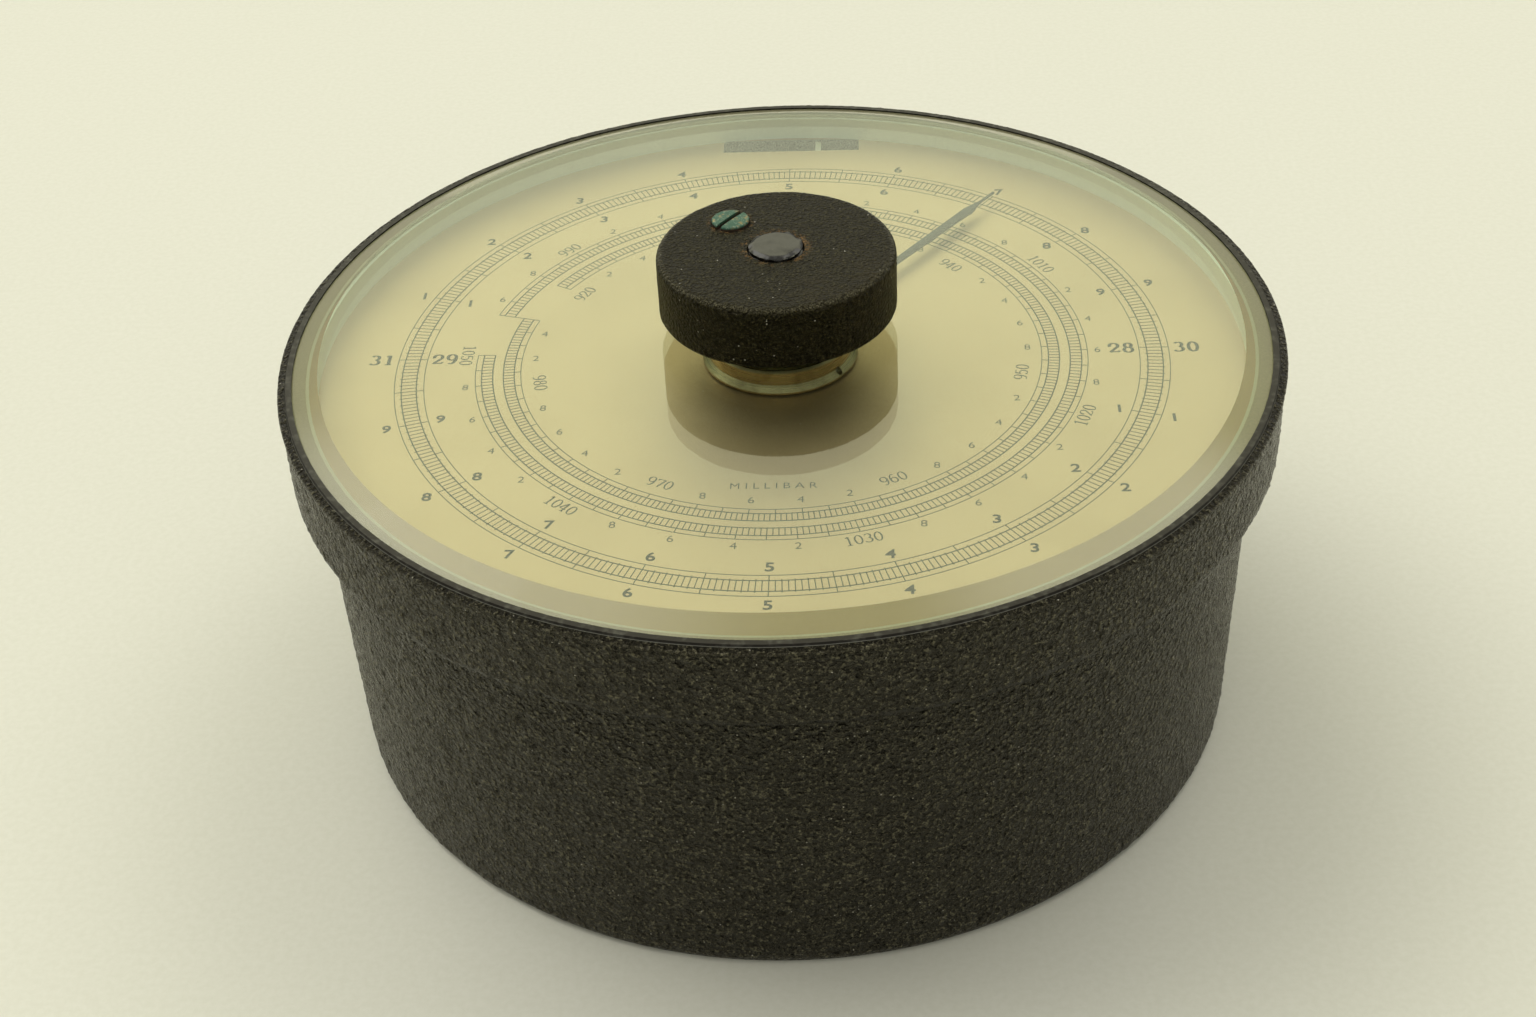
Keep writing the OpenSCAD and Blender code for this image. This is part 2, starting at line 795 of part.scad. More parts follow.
knob_stem_top = knob_top - 3.0;
knob_nut_t = 2.2;
counterbore_z = knob_stem_top - knob_nut_t - 0.2;

module arbor() {
    color(STEEL) difference() {
        union() {
            post(screw_r, screw_end, collar_z + eps);
            post(screw_r, collar_z, collar_z + collar_t + eps);
            post(arbor_r, collar_z + collar_t, carrier_z + eps);
            post(arbor_r + 1.5, shoulder_z, shoulder_z + shoulder_t);
            post(carrier_r, carrier_z, knob_z);
            post(knob_stem_r, knob_z - eps, knob_stem_top);
        }
        rotate(knob_screw_angle) translate([knob_screw_out, 0, 0])
            post(knob_screw_r + still_fit, carrier_z - 1, knob_z + 1);
    }
}

module thrust_collar() {
    color(BRASS) difference() {
        ring(collar_r, screw_r + still_fit, collar_z, collar_z + collar_t);
        translate([0, 0, collar_z + collar_t / 2])
            along_y(grub_r + still_fit, -collar_r - 1, 0);
    }
}

module collar_screw() {
    color(STEEL) translate([0, 0, collar_z + collar_t / 2])
        along_y(grub_r, -collar_r + 0.2, -screw_r - still_fit);
}

module stop_nut() {
    color(BRASS) ring(stop_r, screw_r + still_fit, stop_top - stop_t, stop_top);
}

// A slot along the pointer's direction lets the pointer's root into the hub
module pointer_slot() {
    rotate(pointer_angle)
        translate([pointer_root - still_fit, -hub_slot_w / 2 - still_fit, pointer_z - still_fit])
            cube([hub_r + hub_flange - pointer_root + 1, hub_slot_w + 2 * still_fit,
                  pointer_t + 2 * still_fit]);
}

hub_slot_w = 4;
hub_screw_z = (hub_z + hub_floor) / 2;

module pointer_hub() {
    color(NICKEL) difference() {
        rotate_extrude() polygon([
            [arbor_r + still_fit, hub_z], [hub_r + hub_flange, hub_z],
            [hub_r + hub_flange, hub_z + hub_flange_t], [hub_r, hub_z + hub_flange_t + hub_flange],
            [hub_r, hub_top - 0.3], [hub_r - 0.3, hub_top], [hub_recess_r, hub_top],
            [hub_recess_r, hub_floor], [arbor_r + still_fit, hub_floor]]);
        pointer_slot();
        hub_screw_places() along_y(grub_r * 0.7 + still_fit, -hub_r - 2, 0);
    }
}

module hub_screw_places() {
    for (a = [pointer_angle, pointer_angle + 180])
        rotate(a) translate([0, 0, hub_screw_z]) children();
}

module hub_screws() {
    color(STEEL) hub_screw_places() along_y(grub_r * 0.7, -hub_r + 0.2, -arbor_r - still_fit);
}

module pointer() {
    neck_w = pointer_w * 0.45;
    hair_w = 0.3;
    hair_len = 4;
    broad = pointer_reach - hair_len - 4;
    color(STEEL) rotate(pointer_angle) translate([0, 0, pointer_z]) linear_extrude(pointer_t)
        polygon([
            [pointer_root, -hub_slot_w / 2], [hub_r - 0.5, -hub_slot_w / 2],
            [hub_r - 0.5, -neck_w / 2],
            [broad, -pointer_w / 2], [pointer_reach - hair_len, -hair_w / 2],
            [pointer_reach, -hair_w / 2], [pointer_reach, hair_w / 2],
            [pointer_reach - hair_len, hair_w / 2], [broad, pointer_w / 2],
            [hub_r - 0.5, neck_w / 2],
            [hub_r - 0.5, hub_slot_w / 2], [pointer_root, hub_slot_w / 2]]);
}

knob_screw_proud = 0.6;
knob_screw_head_h = 1.8;

module knob() {
    color(BLACK) difference() {
        rotate_extrude() polygon(concat(
            [[0, knob_z], [knob_r - 0.4, knob_z], [knob_r, knob_z + 0.4]],
            [for (a = [0:15:90])
                [knob_r - knob_round + knob_round * cos(a), knob_top - knob_round + knob_round * sin(a)]],
            [[0, knob_top]]));
        post(knob_stem_r + still_fit, knob_z - 1, knob_top + 1);
        post(plug_r + still_fit, counterbore_z, knob_top + 1);
        rotate(knob_screw_angle) translate([knob_screw_out, 0, 0]) {
            post(knob_screw_r + still_fit, knob_z - 1, knob_top + 1);
            post(knob_screw_head_r + still_fit, knob_top + knob_screw_proud - knob_screw_head_h,
                 knob_top + 1);
        }
    }
}

module knob_nut() {
    color(BRASS) ring(plug_r - 0.3, knob_stem_r + still_fit, counterbore_z, knob_stem_top - 0.1);
}

module knob_screw() {
    color([0.42, 0.50, 0.38]) rotate(knob_screw_angle)
        translate([knob_screw_out, 0, knob_top + knob_screw_proud - knob_screw_head_h])
            rotate(-78) cheese_screw(knob_screw_head_r, knob_screw_head_h, knob_screw_r,
                         knob_h + knob_screw_proud - knob_screw_head_h + carrier_t - 0.2);
}

module knob_plug() {
    color([0.13, 0.13, 0.13]) post(plug_r, knob_stem_top + 0.1, knob_top + plug_proud);
}

case_body();
bezel();
glass();
glass_retaining_ring();
glass_gasket();
bright_ring();
dial_plate();
window_screen();
glass_bush();
glass_bush_washer();
glass_bush_nut();
base_plate();
floor_screws();
pillars();
upper_plate();
plate_screws();
dial_feet();
plate_bush();
guide_rods();
capsule_lower();
capsule_post();
capsule_upper();
capsule_stud();
spring_seat();
measuring_spring();
carriage_nut();
lever_bracket();
lever_bracket_screws();
balance_lever();
lever_pin();
null_bracket();
null_bracket_screws();
null_staff();
null_crank();
null_index();
null_weight();
arbor();
thrust_collar();
collar_screw();
stop_nut();
pointer_hub();
hub_screws();
pointer();
knob();
knob_nut();
knob_screw();
knob_plug();
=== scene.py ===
"""Null-balance aneroid barometer in a round desk case: its looks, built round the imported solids.

Sizes are millimetres and turn into Blender's metres through MM. The underside stands on z = 0,
six o'clock on the dial faces -Y, and angles run anticlockwise from three o'clock.
"""

import json
import logging
import math
import random
from dataclasses import dataclass
from enum import Enum
from typing import Any, Callable, Dict, Iterable, List, Optional, Sequence, Tuple

import bpy
from mathutils import Matrix, Vector

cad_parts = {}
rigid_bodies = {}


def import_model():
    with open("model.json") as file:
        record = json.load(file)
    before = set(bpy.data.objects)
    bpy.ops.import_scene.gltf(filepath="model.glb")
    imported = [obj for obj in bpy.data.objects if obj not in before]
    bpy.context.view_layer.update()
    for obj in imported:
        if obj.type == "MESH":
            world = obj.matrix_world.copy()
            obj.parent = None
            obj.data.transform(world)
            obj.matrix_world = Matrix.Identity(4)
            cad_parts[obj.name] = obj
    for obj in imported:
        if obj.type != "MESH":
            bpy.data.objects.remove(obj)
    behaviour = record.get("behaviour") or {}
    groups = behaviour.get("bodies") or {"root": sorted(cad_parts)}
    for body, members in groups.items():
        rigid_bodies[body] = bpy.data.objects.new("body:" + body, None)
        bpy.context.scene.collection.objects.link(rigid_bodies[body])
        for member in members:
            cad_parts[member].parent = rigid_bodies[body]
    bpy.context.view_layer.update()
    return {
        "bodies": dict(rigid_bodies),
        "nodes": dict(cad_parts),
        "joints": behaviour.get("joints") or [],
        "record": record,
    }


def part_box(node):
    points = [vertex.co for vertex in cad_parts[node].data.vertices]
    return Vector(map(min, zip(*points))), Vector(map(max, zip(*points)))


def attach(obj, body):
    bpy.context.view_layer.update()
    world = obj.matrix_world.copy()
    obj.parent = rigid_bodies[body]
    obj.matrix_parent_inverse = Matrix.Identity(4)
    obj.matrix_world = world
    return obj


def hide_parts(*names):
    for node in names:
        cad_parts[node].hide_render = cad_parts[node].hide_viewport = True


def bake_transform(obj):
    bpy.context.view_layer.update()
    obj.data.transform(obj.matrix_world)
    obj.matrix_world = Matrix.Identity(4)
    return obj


MM = 0.001
LOG = logging.getLogger("barometer")
Point = Tuple[float, float]
Piece = bpy.types.Object
Tree = bpy.types.NodeTree
Socket = bpy.types.NodeSocket


class Body(Enum):
    """The bodies that pieces ride on."""

    CASE = "case"
    KNOB = "knob_group"
    CARRIAGE = "carriage"
    CAPSULE_HEAD = "capsule_head"


class Slot(Enum):
    """Names of the record's material slots."""

    CASE_PAINT = "case_paint"
    KNOB_PAINT = "knob_paint"
    GLASS = "glass"
    DIAL_FACE = "dial_face"
    VERDIGRIS = "verdigris_brass"
    WAX = "sealing_wax"
    SPRING = "screw_steel"
    CAPSULE = "capsule_metal"


class Lettering(Enum):
    """The two weights of plain figure on the dial."""

    BOLD = "bold"
    LIGHT = "light"


# ---- finishes ----


def linear(hex_colour: str) -> Tuple[float, float, float, float]:
    """Turns an sRGB hex colour into the linear colour that a shader takes.

    Args:
        hex_colour: Six hex digits, with or without a leading #.

    Returns:
        Red, green, blue and an alpha of 1.
    """
    digits = hex_colour.lstrip("#")
    parts = [int(digits[i : i + 2], 16) / 255 for i in (0, 2, 4)]
    red, green, blue = (p / 12.92 if p <= 0.04045 else ((p + 0.055) / 1.055) ** 2.4 for p in parts)
    return (red, green, blue, 1.0)


def add_node(tree: Tree, kind: str, inputs: Optional[Dict[Any, Any]] = None, out: Any = 0, **settings: Any) -> Any:
    """Adds one shader node with its settings, and fills or links its inputs.

    Args:
        tree: The node tree that gets the node.
        kind: The node's type name without its ShaderNode prefix.
        inputs: Socket name or number to a value, or to the output that feeds it.
        out: Name or number of the output that is wanted.
        settings: Properties of the node.

    Returns:
        That output, or nothing for a node without outputs.
    """
    node = tree.nodes.new("ShaderNode" + kind)
    for key, value in settings.items():
        setattr(node, key, value)
    for socket, value in (inputs or {}).items():
        if isinstance(value, Socket):
            tree.links.new(value, node.inputs[socket])
        else:
            node.inputs[socket].default_value = value
    return node.outputs[out] if node.outputs else None


def per_mm(size: float) -> float:
    """Scale of a pattern on Object coordinates whose features are size millimetres wide."""
    return 1.0 / (size * MM)


def specks(tree: Tree, spacing: float, radius: float, share: float) -> Socket:
    """Scattered round specks on Object coordinates.

    Args:
        tree: The material's node tree.
        spacing: Width in millimetres of the cells that may hold a speck.
        radius: Radius of a speck in millimetres.
        share: Share of the cells that hold one.

    Returns:
        1 inside a speck and 0 elsewhere.
    """
    place = add_node(tree, "TexCoord", out="Object")
    cell = add_node(tree, "TexVoronoi", {"Vector": place, "Scale": per_mm(spacing)}).node.outputs
    ends = {"Value": cell["Distance"], "From Min": radius / spacing, "From Max": 0.6 * radius / spacing}
    lot = add_node(tree, "SeparateColor", {0: cell["Color"]})
    chosen = add_node(tree, "Math", {0: lot, 1: share}, operation="LESS_THAN")
    return add_node(tree, "Math", {0: add_node(tree, "MapRange", ends), 1: chosen}, operation="MULTIPLY")


def patches(tree: Tree, size: float, low: float, high: float, most: float = 1.0, **noise: float) -> Socket:
    """Uneven patches on Object coordinates.

    Args:
        tree: The material's node tree.
        size: Width of the patches in millimetres.
        low: Height of the noise at which a patch begins.
        high: Height of the noise at which it is full.
        most: What a full patch gives.
        noise: Inputs of the noise, such as its detail.

    Returns:
        A share from 0 to most.
    """
    place = add_node(tree, "TexCoord", out="Object")
    grain = add_node(tree, "TexNoise", {"Vector": place, "Scale": per_mm(size), **noise})
    return add_node(tree, "MapRange", {"Value": grain, "From Min": low, "From Max": high, "To Max": most})


def from_axis(tree: Tree) -> Tuple[Socket, Socket]:
    """Distance of the surface from the upright axis, and its height, in metres.

    Args:
        tree: The material's node tree.

    Returns:
        Distance and height.
    """
    split = add_node(tree, "SeparateXYZ", {0: add_node(tree, "TexCoord", out="Object")}).node.outputs
    level = add_node(tree, "CombineXYZ", {0: split[0], 1: split[1]})
    return add_node(tree, "VectorMath", {0: level}, out="Value", operation="LENGTH"), split[2]


class Finish:
    """A surface finish. A finish is made once and shared by the pieces that have it."""

    name: str

    def shade(self, tree: Tree) -> Socket:
        """Adds the finish's shader nodes and returns the shader."""
        raise NotImplementedError

    def material(self) -> bpy.types.Material:
        """Makes the material, or returns the one already made.

        Returns:
            The material.
        """
        made = bpy.data.materials.get(self.name)
        if made:
            return made
        made = bpy.data.materials.new(self.name)
        made.use_nodes = True
        tree = made.node_tree
        tree.nodes.clear()
        add_node(tree, "OutputMaterial", {"Surface": self.shade(tree)})
        return made


@dataclass(frozen=True)
class CracklePaint(Finish):
    """Black wrinkle enamel, stoved so that it shrivels into hard grains.

    The eye sees dark heaped grains under a millimetre apart. Their colour paints light and shade: painted shade between
    them, a painted highlight where they stand highest, and small painted glints.
    """

    name: str = "wrinkle_enamel"
    colour: str = "#2A2820"
    crease: str = "#040303"
    peak: str = "#79755F"
    coat: str = "#F6EDC8"
    # Colour of the pale specks, which are painted glints.
    dust: str = "#D6D2C4"
    grain: float = 0.84
    depth: float = 1.5
    gloss: float = 0.27
    shine: float = 0.55
    speck_share: float = 0.13
    seam_z: float = 53.9

    def seam(self, tree: Tree) -> Socket:
        """A wandering line along the bezel's lower edge, which sinks the relief into a groove and is darkened as
        painted shade: 1 in it, 0 outside.

        Args:
            tree: The material's node tree.

        Returns:
            The share.
        """
        place = add_node(tree, "TexCoord", out="Object")
        height = add_node(tree, "SeparateXYZ", {0: place}, out=2)
        wave = add_node(tree, "TexNoise", {"Vector": place, "Scale": per_mm(5.0)})
        wander = add_node(tree, "Math", {0: wave, 1: 2.4 * MM, 2: height}, operation="MULTIPLY_ADD")
        off = add_node(tree, "Math", {0: wander, 1: self.seam_z * MM}, operation="SUBTRACT")
        apart = add_node(tree, "Math", {0: off}, operation="ABSOLUTE")
        return add_node(tree, "MapRange", {"Value": apart, "From Min": 0.8 * MM, "From Max": 0.3 * MM})

    def stain(self, tree: Tree, base: Socket) -> Socket:
        """Darkens the seam line with the darkest colour: painted shade under the bezel's overhang."""
        # Painted shade: the line below the bezel's overhang is darkened in the colour.
        mix = {0: self.seam(tree), 6: base, 7: linear(self.crease)}
        return add_node(tree, "Mix", mix, out=2, data_type="RGBA")

    def lumps(self, tree: Tree, place: Socket) -> Socket:
        """Cells as wide as a grain, pushed out of shape: 1 in their middles and 0 between them.

        Args:
            tree: The material's node tree.
            place: The point on the surface.

        Returns:
            The share.
        """
        push = add_node(tree, "TexNoise", {"Vector": place, "Scale": per_mm(self.grain * 1.3)}, out="Color")
        level = add_node(tree, "VectorMath", {0: push, 1: (0.5, 0.5, 0.5)}, operation="SUBTRACT")
        reach = (self.grain * 0.8 * MM,) * 3
        strayed = add_node(tree, "VectorMath", {0: level, 1: reach, 2: place}, operation="MULTIPLY_ADD")
        apart = add_node(tree, "TexVoronoi", {"Vector": strayed, "Scale": per_mm(self.grain)})
        return add_node(tree, "MapRange", {"Value": apart, "From Min": 0.8, "From Max": 0.1})

    def shade(self, tree: Tree) -> Socket:
        """Grains heaped into lumps, in the colour, the gloss and the relief, with pale specks that are painted glints.

        Args:
            tree: The material's node tree.

        Returns:
            The shader.
        """
        place = add_node(tree, "TexCoord", out="Object")
        lumps = self.lumps(tree, place)
        inputs = {"Vector": place, "Scale": per_mm(self.grain * 0.8), "Roughness": 0.7}
        grit = add_node(tree, "TexNoise", inputs)
        inputs = {"Vector": place, "Scale": per_mm(self.grain * 0.36), "Detail": 1.0, "Roughness": 0.6}
        fine = add_node(tree, "TexNoise", inputs)
        broad = add_node(tree, "TexNoise", {"Vector": place, "Scale": per_mm(self.grain * 2.2)})
        heap = add_node(tree, "Math", {0: broad, 1: 0.8}, operation="MULTIPLY")
        for noise, weight in ((grit, 1.3), (lumps, 0.8), (self.seam(tree), -2.0)):
            heap = add_node(tree, "Math", {0: noise, 1: weight, 2: heap}, operation="MULTIPLY_ADD")
        light_and_shade_tone = -2.05
        for noise, weight in ((fine, 2.0), (grit, 2.6), (lumps, 0.6)):
            light_and_shade_tone = add_node(tree, "Math", {0: noise, 1: weight, 2: light_and_shade_tone}, operation="MULTIPLY_ADD")
        risen = add_node(tree, "MapRange", {"Value": light_and_shade_tone, "From Min": 0.3, "From Max": 0.6})
        highlight_tops = add_node(tree, "MapRange", {"Value": light_and_shade_tone, "From Min": 0.72, "From Max": 1.25})
        # Painted shade and highlight: the darkest colour fills the creases, and the highest grains turn a pale colour
        # that stands in for light on them.
        base = linear(self.crease)
        for share, colour in ((risen, self.colour), (highlight_tops, self.peak)):
            base = add_node(tree, "Mix", {0: share, 6: base, 7: linear(colour)}, out=2, data_type="RGBA")
        # Painted glints: scattered pale specks stand in for sparkle off sharp grains.
        glinted = {0: specks(tree, 0.9, 0.13, self.speck_share), 6: self.stain(tree, base), 7: linear(self.dust)}
        ends = {"To Min": self.gloss - 0.12, "To Max": self.gloss + 0.1}
        shader = {
            "Base Color": add_node(tree, "Mix", glinted, out=2, data_type="RGBA"),
            "Roughness": add_node(tree, "MapRange", {"Value": grit, "From Min": 0.3, "From Max": 0.7, **ends}),
            "Specular IOR Level": self.shine,
            "Specular Tint": linear(self.coat),
            "Normal": add_node(tree, "Bump", {"Height": heap, "Distance": self.depth * MM}),
        }
        return add_node(tree, "BsdfPrincipled", shader)


@dataclass(frozen=True)
class KnobPaint(CracklePaint):
    """The knob's enamel: a finer wrinkle, paler along the rounded top edge, partly from the wear of fingers and partly
    as a painted highlight.

    Brown residue lies round the screw and the wax, and a browner patch lies on the front right, over the edge and down
    the wall.
    """

    name: str = "fine_wrinkle_enamel"
    colour: str = "#1B1A10"
    # The crease colour is painted shade and the peak colour is a painted highlight, as on the case.
    crease: str = "#060503"
    peak: str = "#4A4630"
    coat: str = "#F4E8B4"
    grain: float = 0.56
    depth: float = 0.34
    gloss: float = 0.4
    shine: float = 0.24
    speck_share: float = 0.07
    residue: str = "#8E6B40"
    rubbed: str = "#2E2716"
    # The edge's pale colour: partly wear, partly a painted highlight.
    worn: str = "#67634F"
    screw_place: Point = (0.0, 0.0)
    edge_r: float = 18.2
    top_z: float = 81.4

    def fade(self, tree: Tree, centre: Point, inner: float, outer: float) -> Socket:
        """Fades with the distance from a point of the knob's top.

        Args:
            tree: The material's node tree.
            centre: The point, in millimetres from the axis.
            inner: Distance in millimetres up to which it is full.
            outer: Distance in millimetres from which there is none.

        Returns:
            1 at the point and 0 away from it.
        """
        place = add_node(tree, "TexCoord", out="Object")
        point = (centre[0] * MM, centre[1] * MM, self.top_z * MM)
        apart = add_node(tree, "VectorMath", {0: place, 1: point}, out="Value", operation="DISTANCE")
        return add_node(tree, "MapRange", {"Value": apart, "From Min": outer * MM, "From Max": inner * MM})

    def edge(self, tree: Tree) -> Socket:
        """The rounded edge of the top, made paler by wear and by a painted highlight: 1 on it and 0 elsewhere.

        Args:
            tree: The material's node tree.

        Returns:
            The share.
        """
        out, height = from_axis(tree)
        inputs = {"Value": out, "From Min": (self.edge_r - 0.5) * MM, "From Max": (self.edge_r + 0.2) * MM}
        outside = add_node(tree, "MapRange", inputs)
        inputs = {"Value": height, "From Min": (self.top_z - 0.9) * MM, "From Max": (self.top_z - 0.5) * MM}
        high = add_node(tree, "MapRange", inputs)
        return add_node(tree, "Math", {0: outside, 1: high}, operation="MULTIPLY")

    def stain(self, tree: Tree, base: Socket) -> Socket:
        """Crumbs of residue in two rings, a browner patch on the front right, and the edge paler, partly wear and
        partly a painted highlight.

        Args:
            tree: The material's node tree.
            base: The colour below.

        Returns:
            The stained colour.
        """
        rings = {0: self.fade(tree, (0, 0), 4.6, 6.0), 1: self.fade(tree, self.screw_place, 3.0, 4.0)}
        near = add_node(tree, "Math", rings, operation="MAXIMUM")
        marks = (
            (near, patches(tree, 0.8, 0.5, 0.64, 0.85, Detail=3.0, Roughness=0.7), self.residue),
            # A browner patch on the front right, running over the edge and down the wall.
            (self.fade(tree, (13, -13), 4.0, 13.0), patches(tree, 2.5, 0.4, 0.65, 0.5, Detail=3.0), self.rubbed),
            # Partly wear, partly a painted highlight: the rounded top edge is paler all round.
            (self.edge(tree), patches(tree, 0.22, 0.48, 0.66, Detail=1.0), self.worn),
        )
        for where, patchy, colour in marks:
            share = add_node(tree, "Math", {0: where, 1: patchy}, operation="MULTIPLY")
            base = add_node(tree, "Mix", {0: share, 6: base, 7: linear(colour)}, out=2, data_type="RGBA")
        return base


@dataclass(frozen=True)
class TurnedMetal(Finish):
    """Metal turned on a lathe: fine rings left by the tool catch the light round the axis.

    Tarnish lies over it in clouds a few millimetres wide. The rings are drawn a quarter of a
    millimetre apart, coarser than a tool leaves them, so that they show.
    """

    name: str = "turned_brass"
    colour: str = "#B08D4F"
    tarnish: str = "#6B5230"
    roughness: float = 0.32
    tarnished: float = 0.35
    ring: float = 0.25
    relief: float = 0.004

    def shade(self, tree: Tree) -> Socket:
        """Tool rings that follow the distance from the axis and the height, under the tarnish.

        Args:
            tree: The material's node tree.

        Returns:
            The shader.
        """
        out, height = from_axis(tree)
        along = add_node(tree, "CombineXYZ", {0: out, 1: height})
        rings = add_node(tree, "TexNoise", {"Vector": along, "Scale": per_mm(self.ring)})
        dull = patches(tree, 3.0, 0.45, 0.75, self.tarnished, Detail=4.0, Roughness=0.6)
        mix = {0: dull, 6: linear(self.colour), 7: linear(self.tarnish)}
        ends = {"To Min": self.roughness * 0.8, "To Max": self.roughness * 1.25}
        shader = {
            "Base Color": add_node(tree, "Mix", mix, out=2, data_type="RGBA"),
            "Metallic": 1.0,
            "Roughness": add_node(tree, "MapRange", {"Value": rings, "From Min": 0.3, "From Max": 0.7, **ends}),
            "Normal": add_node(tree, "Bump", {"Height": rings, "Distance": self.relief * MM}),
        }
        return add_node(tree, "BsdfPrincipled", shader)


@dataclass(frozen=True)
class GiltDial(Finish):
    """Gilt brass, blasted and lacquered: it glows softly and blurs what it mirrors.

    The grain is a fifth of a millimetre, with faint clouds in the lacquer and a few dark freckles.
    """

    name: str = "satin_gilt_brass"
    colour: str = "#D3B692"
    patch: str = "#C6A984"
    freckle: str = "#6E5C35"
    roughness: float = 0.52
    metallic: float = 0.85

    def shade(self, tree: Tree) -> Socket:
        """Grain in the colour and the relief, clouds and freckles in the colour.

        Args:
            tree: The material's node tree.

        Returns:
            The shader.
        """
        place = add_node(tree, "TexCoord", out="Object")
        grain = add_node(tree, "TexNoise", {"Vector": place, "Scale": per_mm(0.22), "Roughness": 0.6})
        fine = add_node(tree, "MapRange", {"Value": grain, "From Min": 0.35, "From Max": 0.65, "To Max": 0.6})
        broad = patches(tree, 14.0, 0.4, 0.65, 0.4, Detail=3.0)
        share = add_node(tree, "Math", {0: fine, 1: broad}, operation="ADD")
        spots = specks(tree, 2.6, 0.11, 0.22)
        base = linear(self.colour)
        for share, colour in ((share, self.patch), (spots, self.freckle)):
            base = add_node(tree, "Mix", {0: share, 6: base, 7: linear(colour)}, out=2, data_type="RGBA")
        shader = {
            "Base Color": base,
            "Metallic": self.metallic,
            "Roughness": self.roughness,
            "Normal": add_node(tree, "Bump", {"Height": grain, "Distance": 0.012 * MM}),
        }
        return add_node(tree, "BsdfPrincipled", shader)


@dataclass(frozen=True)
class PlateGlass(Finish):
    """Polished plate glass: clear across, green along its length.

    It is open to shadow rays and to rays already scattered below it, so the light reaches the dial.
    """

    name: str = "plate_glass"
    colour: str = "#F6FBF4"
    passed: str = "#EEF2EC"
    green: str = "#BFE3CC"
    density: float = 25.0
    roughness: float = 0.0
    clearness: float = 1.0

    def shade(self, tree: Tree) -> Socket:
        """Clear glass, or an open gap for rays that only carry light.

        Args:
            tree: The material's node tree.

        Returns:
            The shader.
        """
        glass = {"Base Color": linear(self.colour), "Roughness": self.roughness, "IOR": 1.52}
        clear = add_node(tree, "BsdfPrincipled", {**glass, "Transmission Weight": self.clearness})
        ray = add_node(tree, "LightPath").node.outputs
        blurred = {0: ray["Is Glossy Ray"], 1: ray["Is Singular Ray"]}
        mirrored = add_node(tree, "Math", blurred, operation="SUBTRACT")
        scattered = add_node(tree, "Math", {0: ray["Is Diffuse Ray"], 1: mirrored}, operation="MAXIMUM")
        open_to = add_node(tree, "Math", {0: ray["Is Shadow Ray"], 1: scattered}, operation="MAXIMUM")
        gap = add_node(tree, "BsdfTransparent", {"Color": linear(self.passed)})
        return add_node(tree, "MixShader", {0: open_to, 1: clear, 2: gap})

    def material(self) -> bpy.types.Material:
        """Adds the green that a long path through the glass takes on.

        Returns:
            The material.
        """
        made = super().material()
        tree = made.node_tree
        output = next(n for n in tree.nodes if n.type == "OUTPUT_MATERIAL")
        if not output.inputs["Volume"].is_linked:
            body = add_node(tree, "VolumeAbsorption", {"Color": linear(self.green), "Density": self.density})
            tree.links.new(body, output.inputs["Volume"])
        return made


@dataclass(frozen=True)
class BlackedStrip(Finish):
    """Nickel strip beside the glass: bright nickel below its lip, and black on its lip as painted shade."""

    name: str = "nickel_strip_shaded_lip"
    bright: str = "#D2D3C4"
    # The lip's black is painted shade.
    black: str = "#211E18"
    lip_z: float = 66.0

    def shade(self, tree: Tree) -> Socket:
        """Bright below the lip's height and black above it as painted shade, with a patchy edge.

        Args:
            tree: The material's node tree.

        Returns:
            The shader.
        """
        place = add_node(tree, "TexCoord", out="Object")
        height = add_node(tree, "SeparateXYZ", {0: place}, out=2)
        inputs = {"Value": height, "From Min": (self.lip_z - 0.1) * MM, "From Max": (self.lip_z + 0.1) * MM}
        high = add_node(tree, "MapRange", inputs)
        cloud = add_node(tree, "TexNoise", {"Vector": place, "Scale": per_mm(1.2), "Detail": 3.0})
        patchy = add_node(tree, "MapRange", {"Value": cloud, "From Min": 0.3, "From Max": 0.5, "To Min": 0.93})
        # Painted shade: the lip turns near black above its height.
        dirt = add_node(tree, "Math", {0: high, 1: patchy}, operation="MULTIPLY")
        mix = {0: dirt, 6: linear(self.bright), 7: linear(self.black)}
        shader = {
            "Base Color": add_node(tree, "Mix", mix, out=2, data_type="RGBA"),
            "Metallic": 0.6,
            "Roughness": 0.42,
            "Normal": add_node(tree, "Bump", {"Height": cloud, "Distance": 0.01 * MM}),
        }
        return add_node(tree, "BsdfPrincipled", shader)


@dataclass(frozen=True)
class Plain(Finish):
    """A plain finish with fine mottling, for ink, paint, felt, leather, wax, board and frosted metal."""

    name: str
    colour: str
    patch: str
    roughness: float
    grain: float
    depth: float
    metallic: float = 0.0
    specular: float = 0.4

    def shade(self, tree: Tree) -> Socket:
        """Two close colours in a fine grain that also roughens the surface.

        Args:
            tree: The material's node tree.

        Returns:
            The shader.
        """
        place = add_node(tree, "TexCoord", out="Object")
        inputs = {"Vector": place, "Scale": per_mm(self.grain), "Detail": 3.0, "Roughness": 0.6}
        grain = add_node(tree, "TexNoise", inputs)
        share = add_node(tree, "MapRange", {"Value": grain, "From Min": 0.35, "From Max": 0.65})
        mix = {0: share, 6: linear(self.colour), 7: linear(self.patch)}
        shader = {
            "Base Color": add_node(tree, "Mix", mix, out=2, data_type="RGBA"),
            "Metallic": self.metallic,
            "Roughness": self.roughness,
            "Specular IOR Level": self.specular,
            "Normal": add_node(tree, "Bump", {"Height": grain, "Distance": self.depth * MM}),
        }
        return add_node(tree, "BsdfPrincipled", shader)


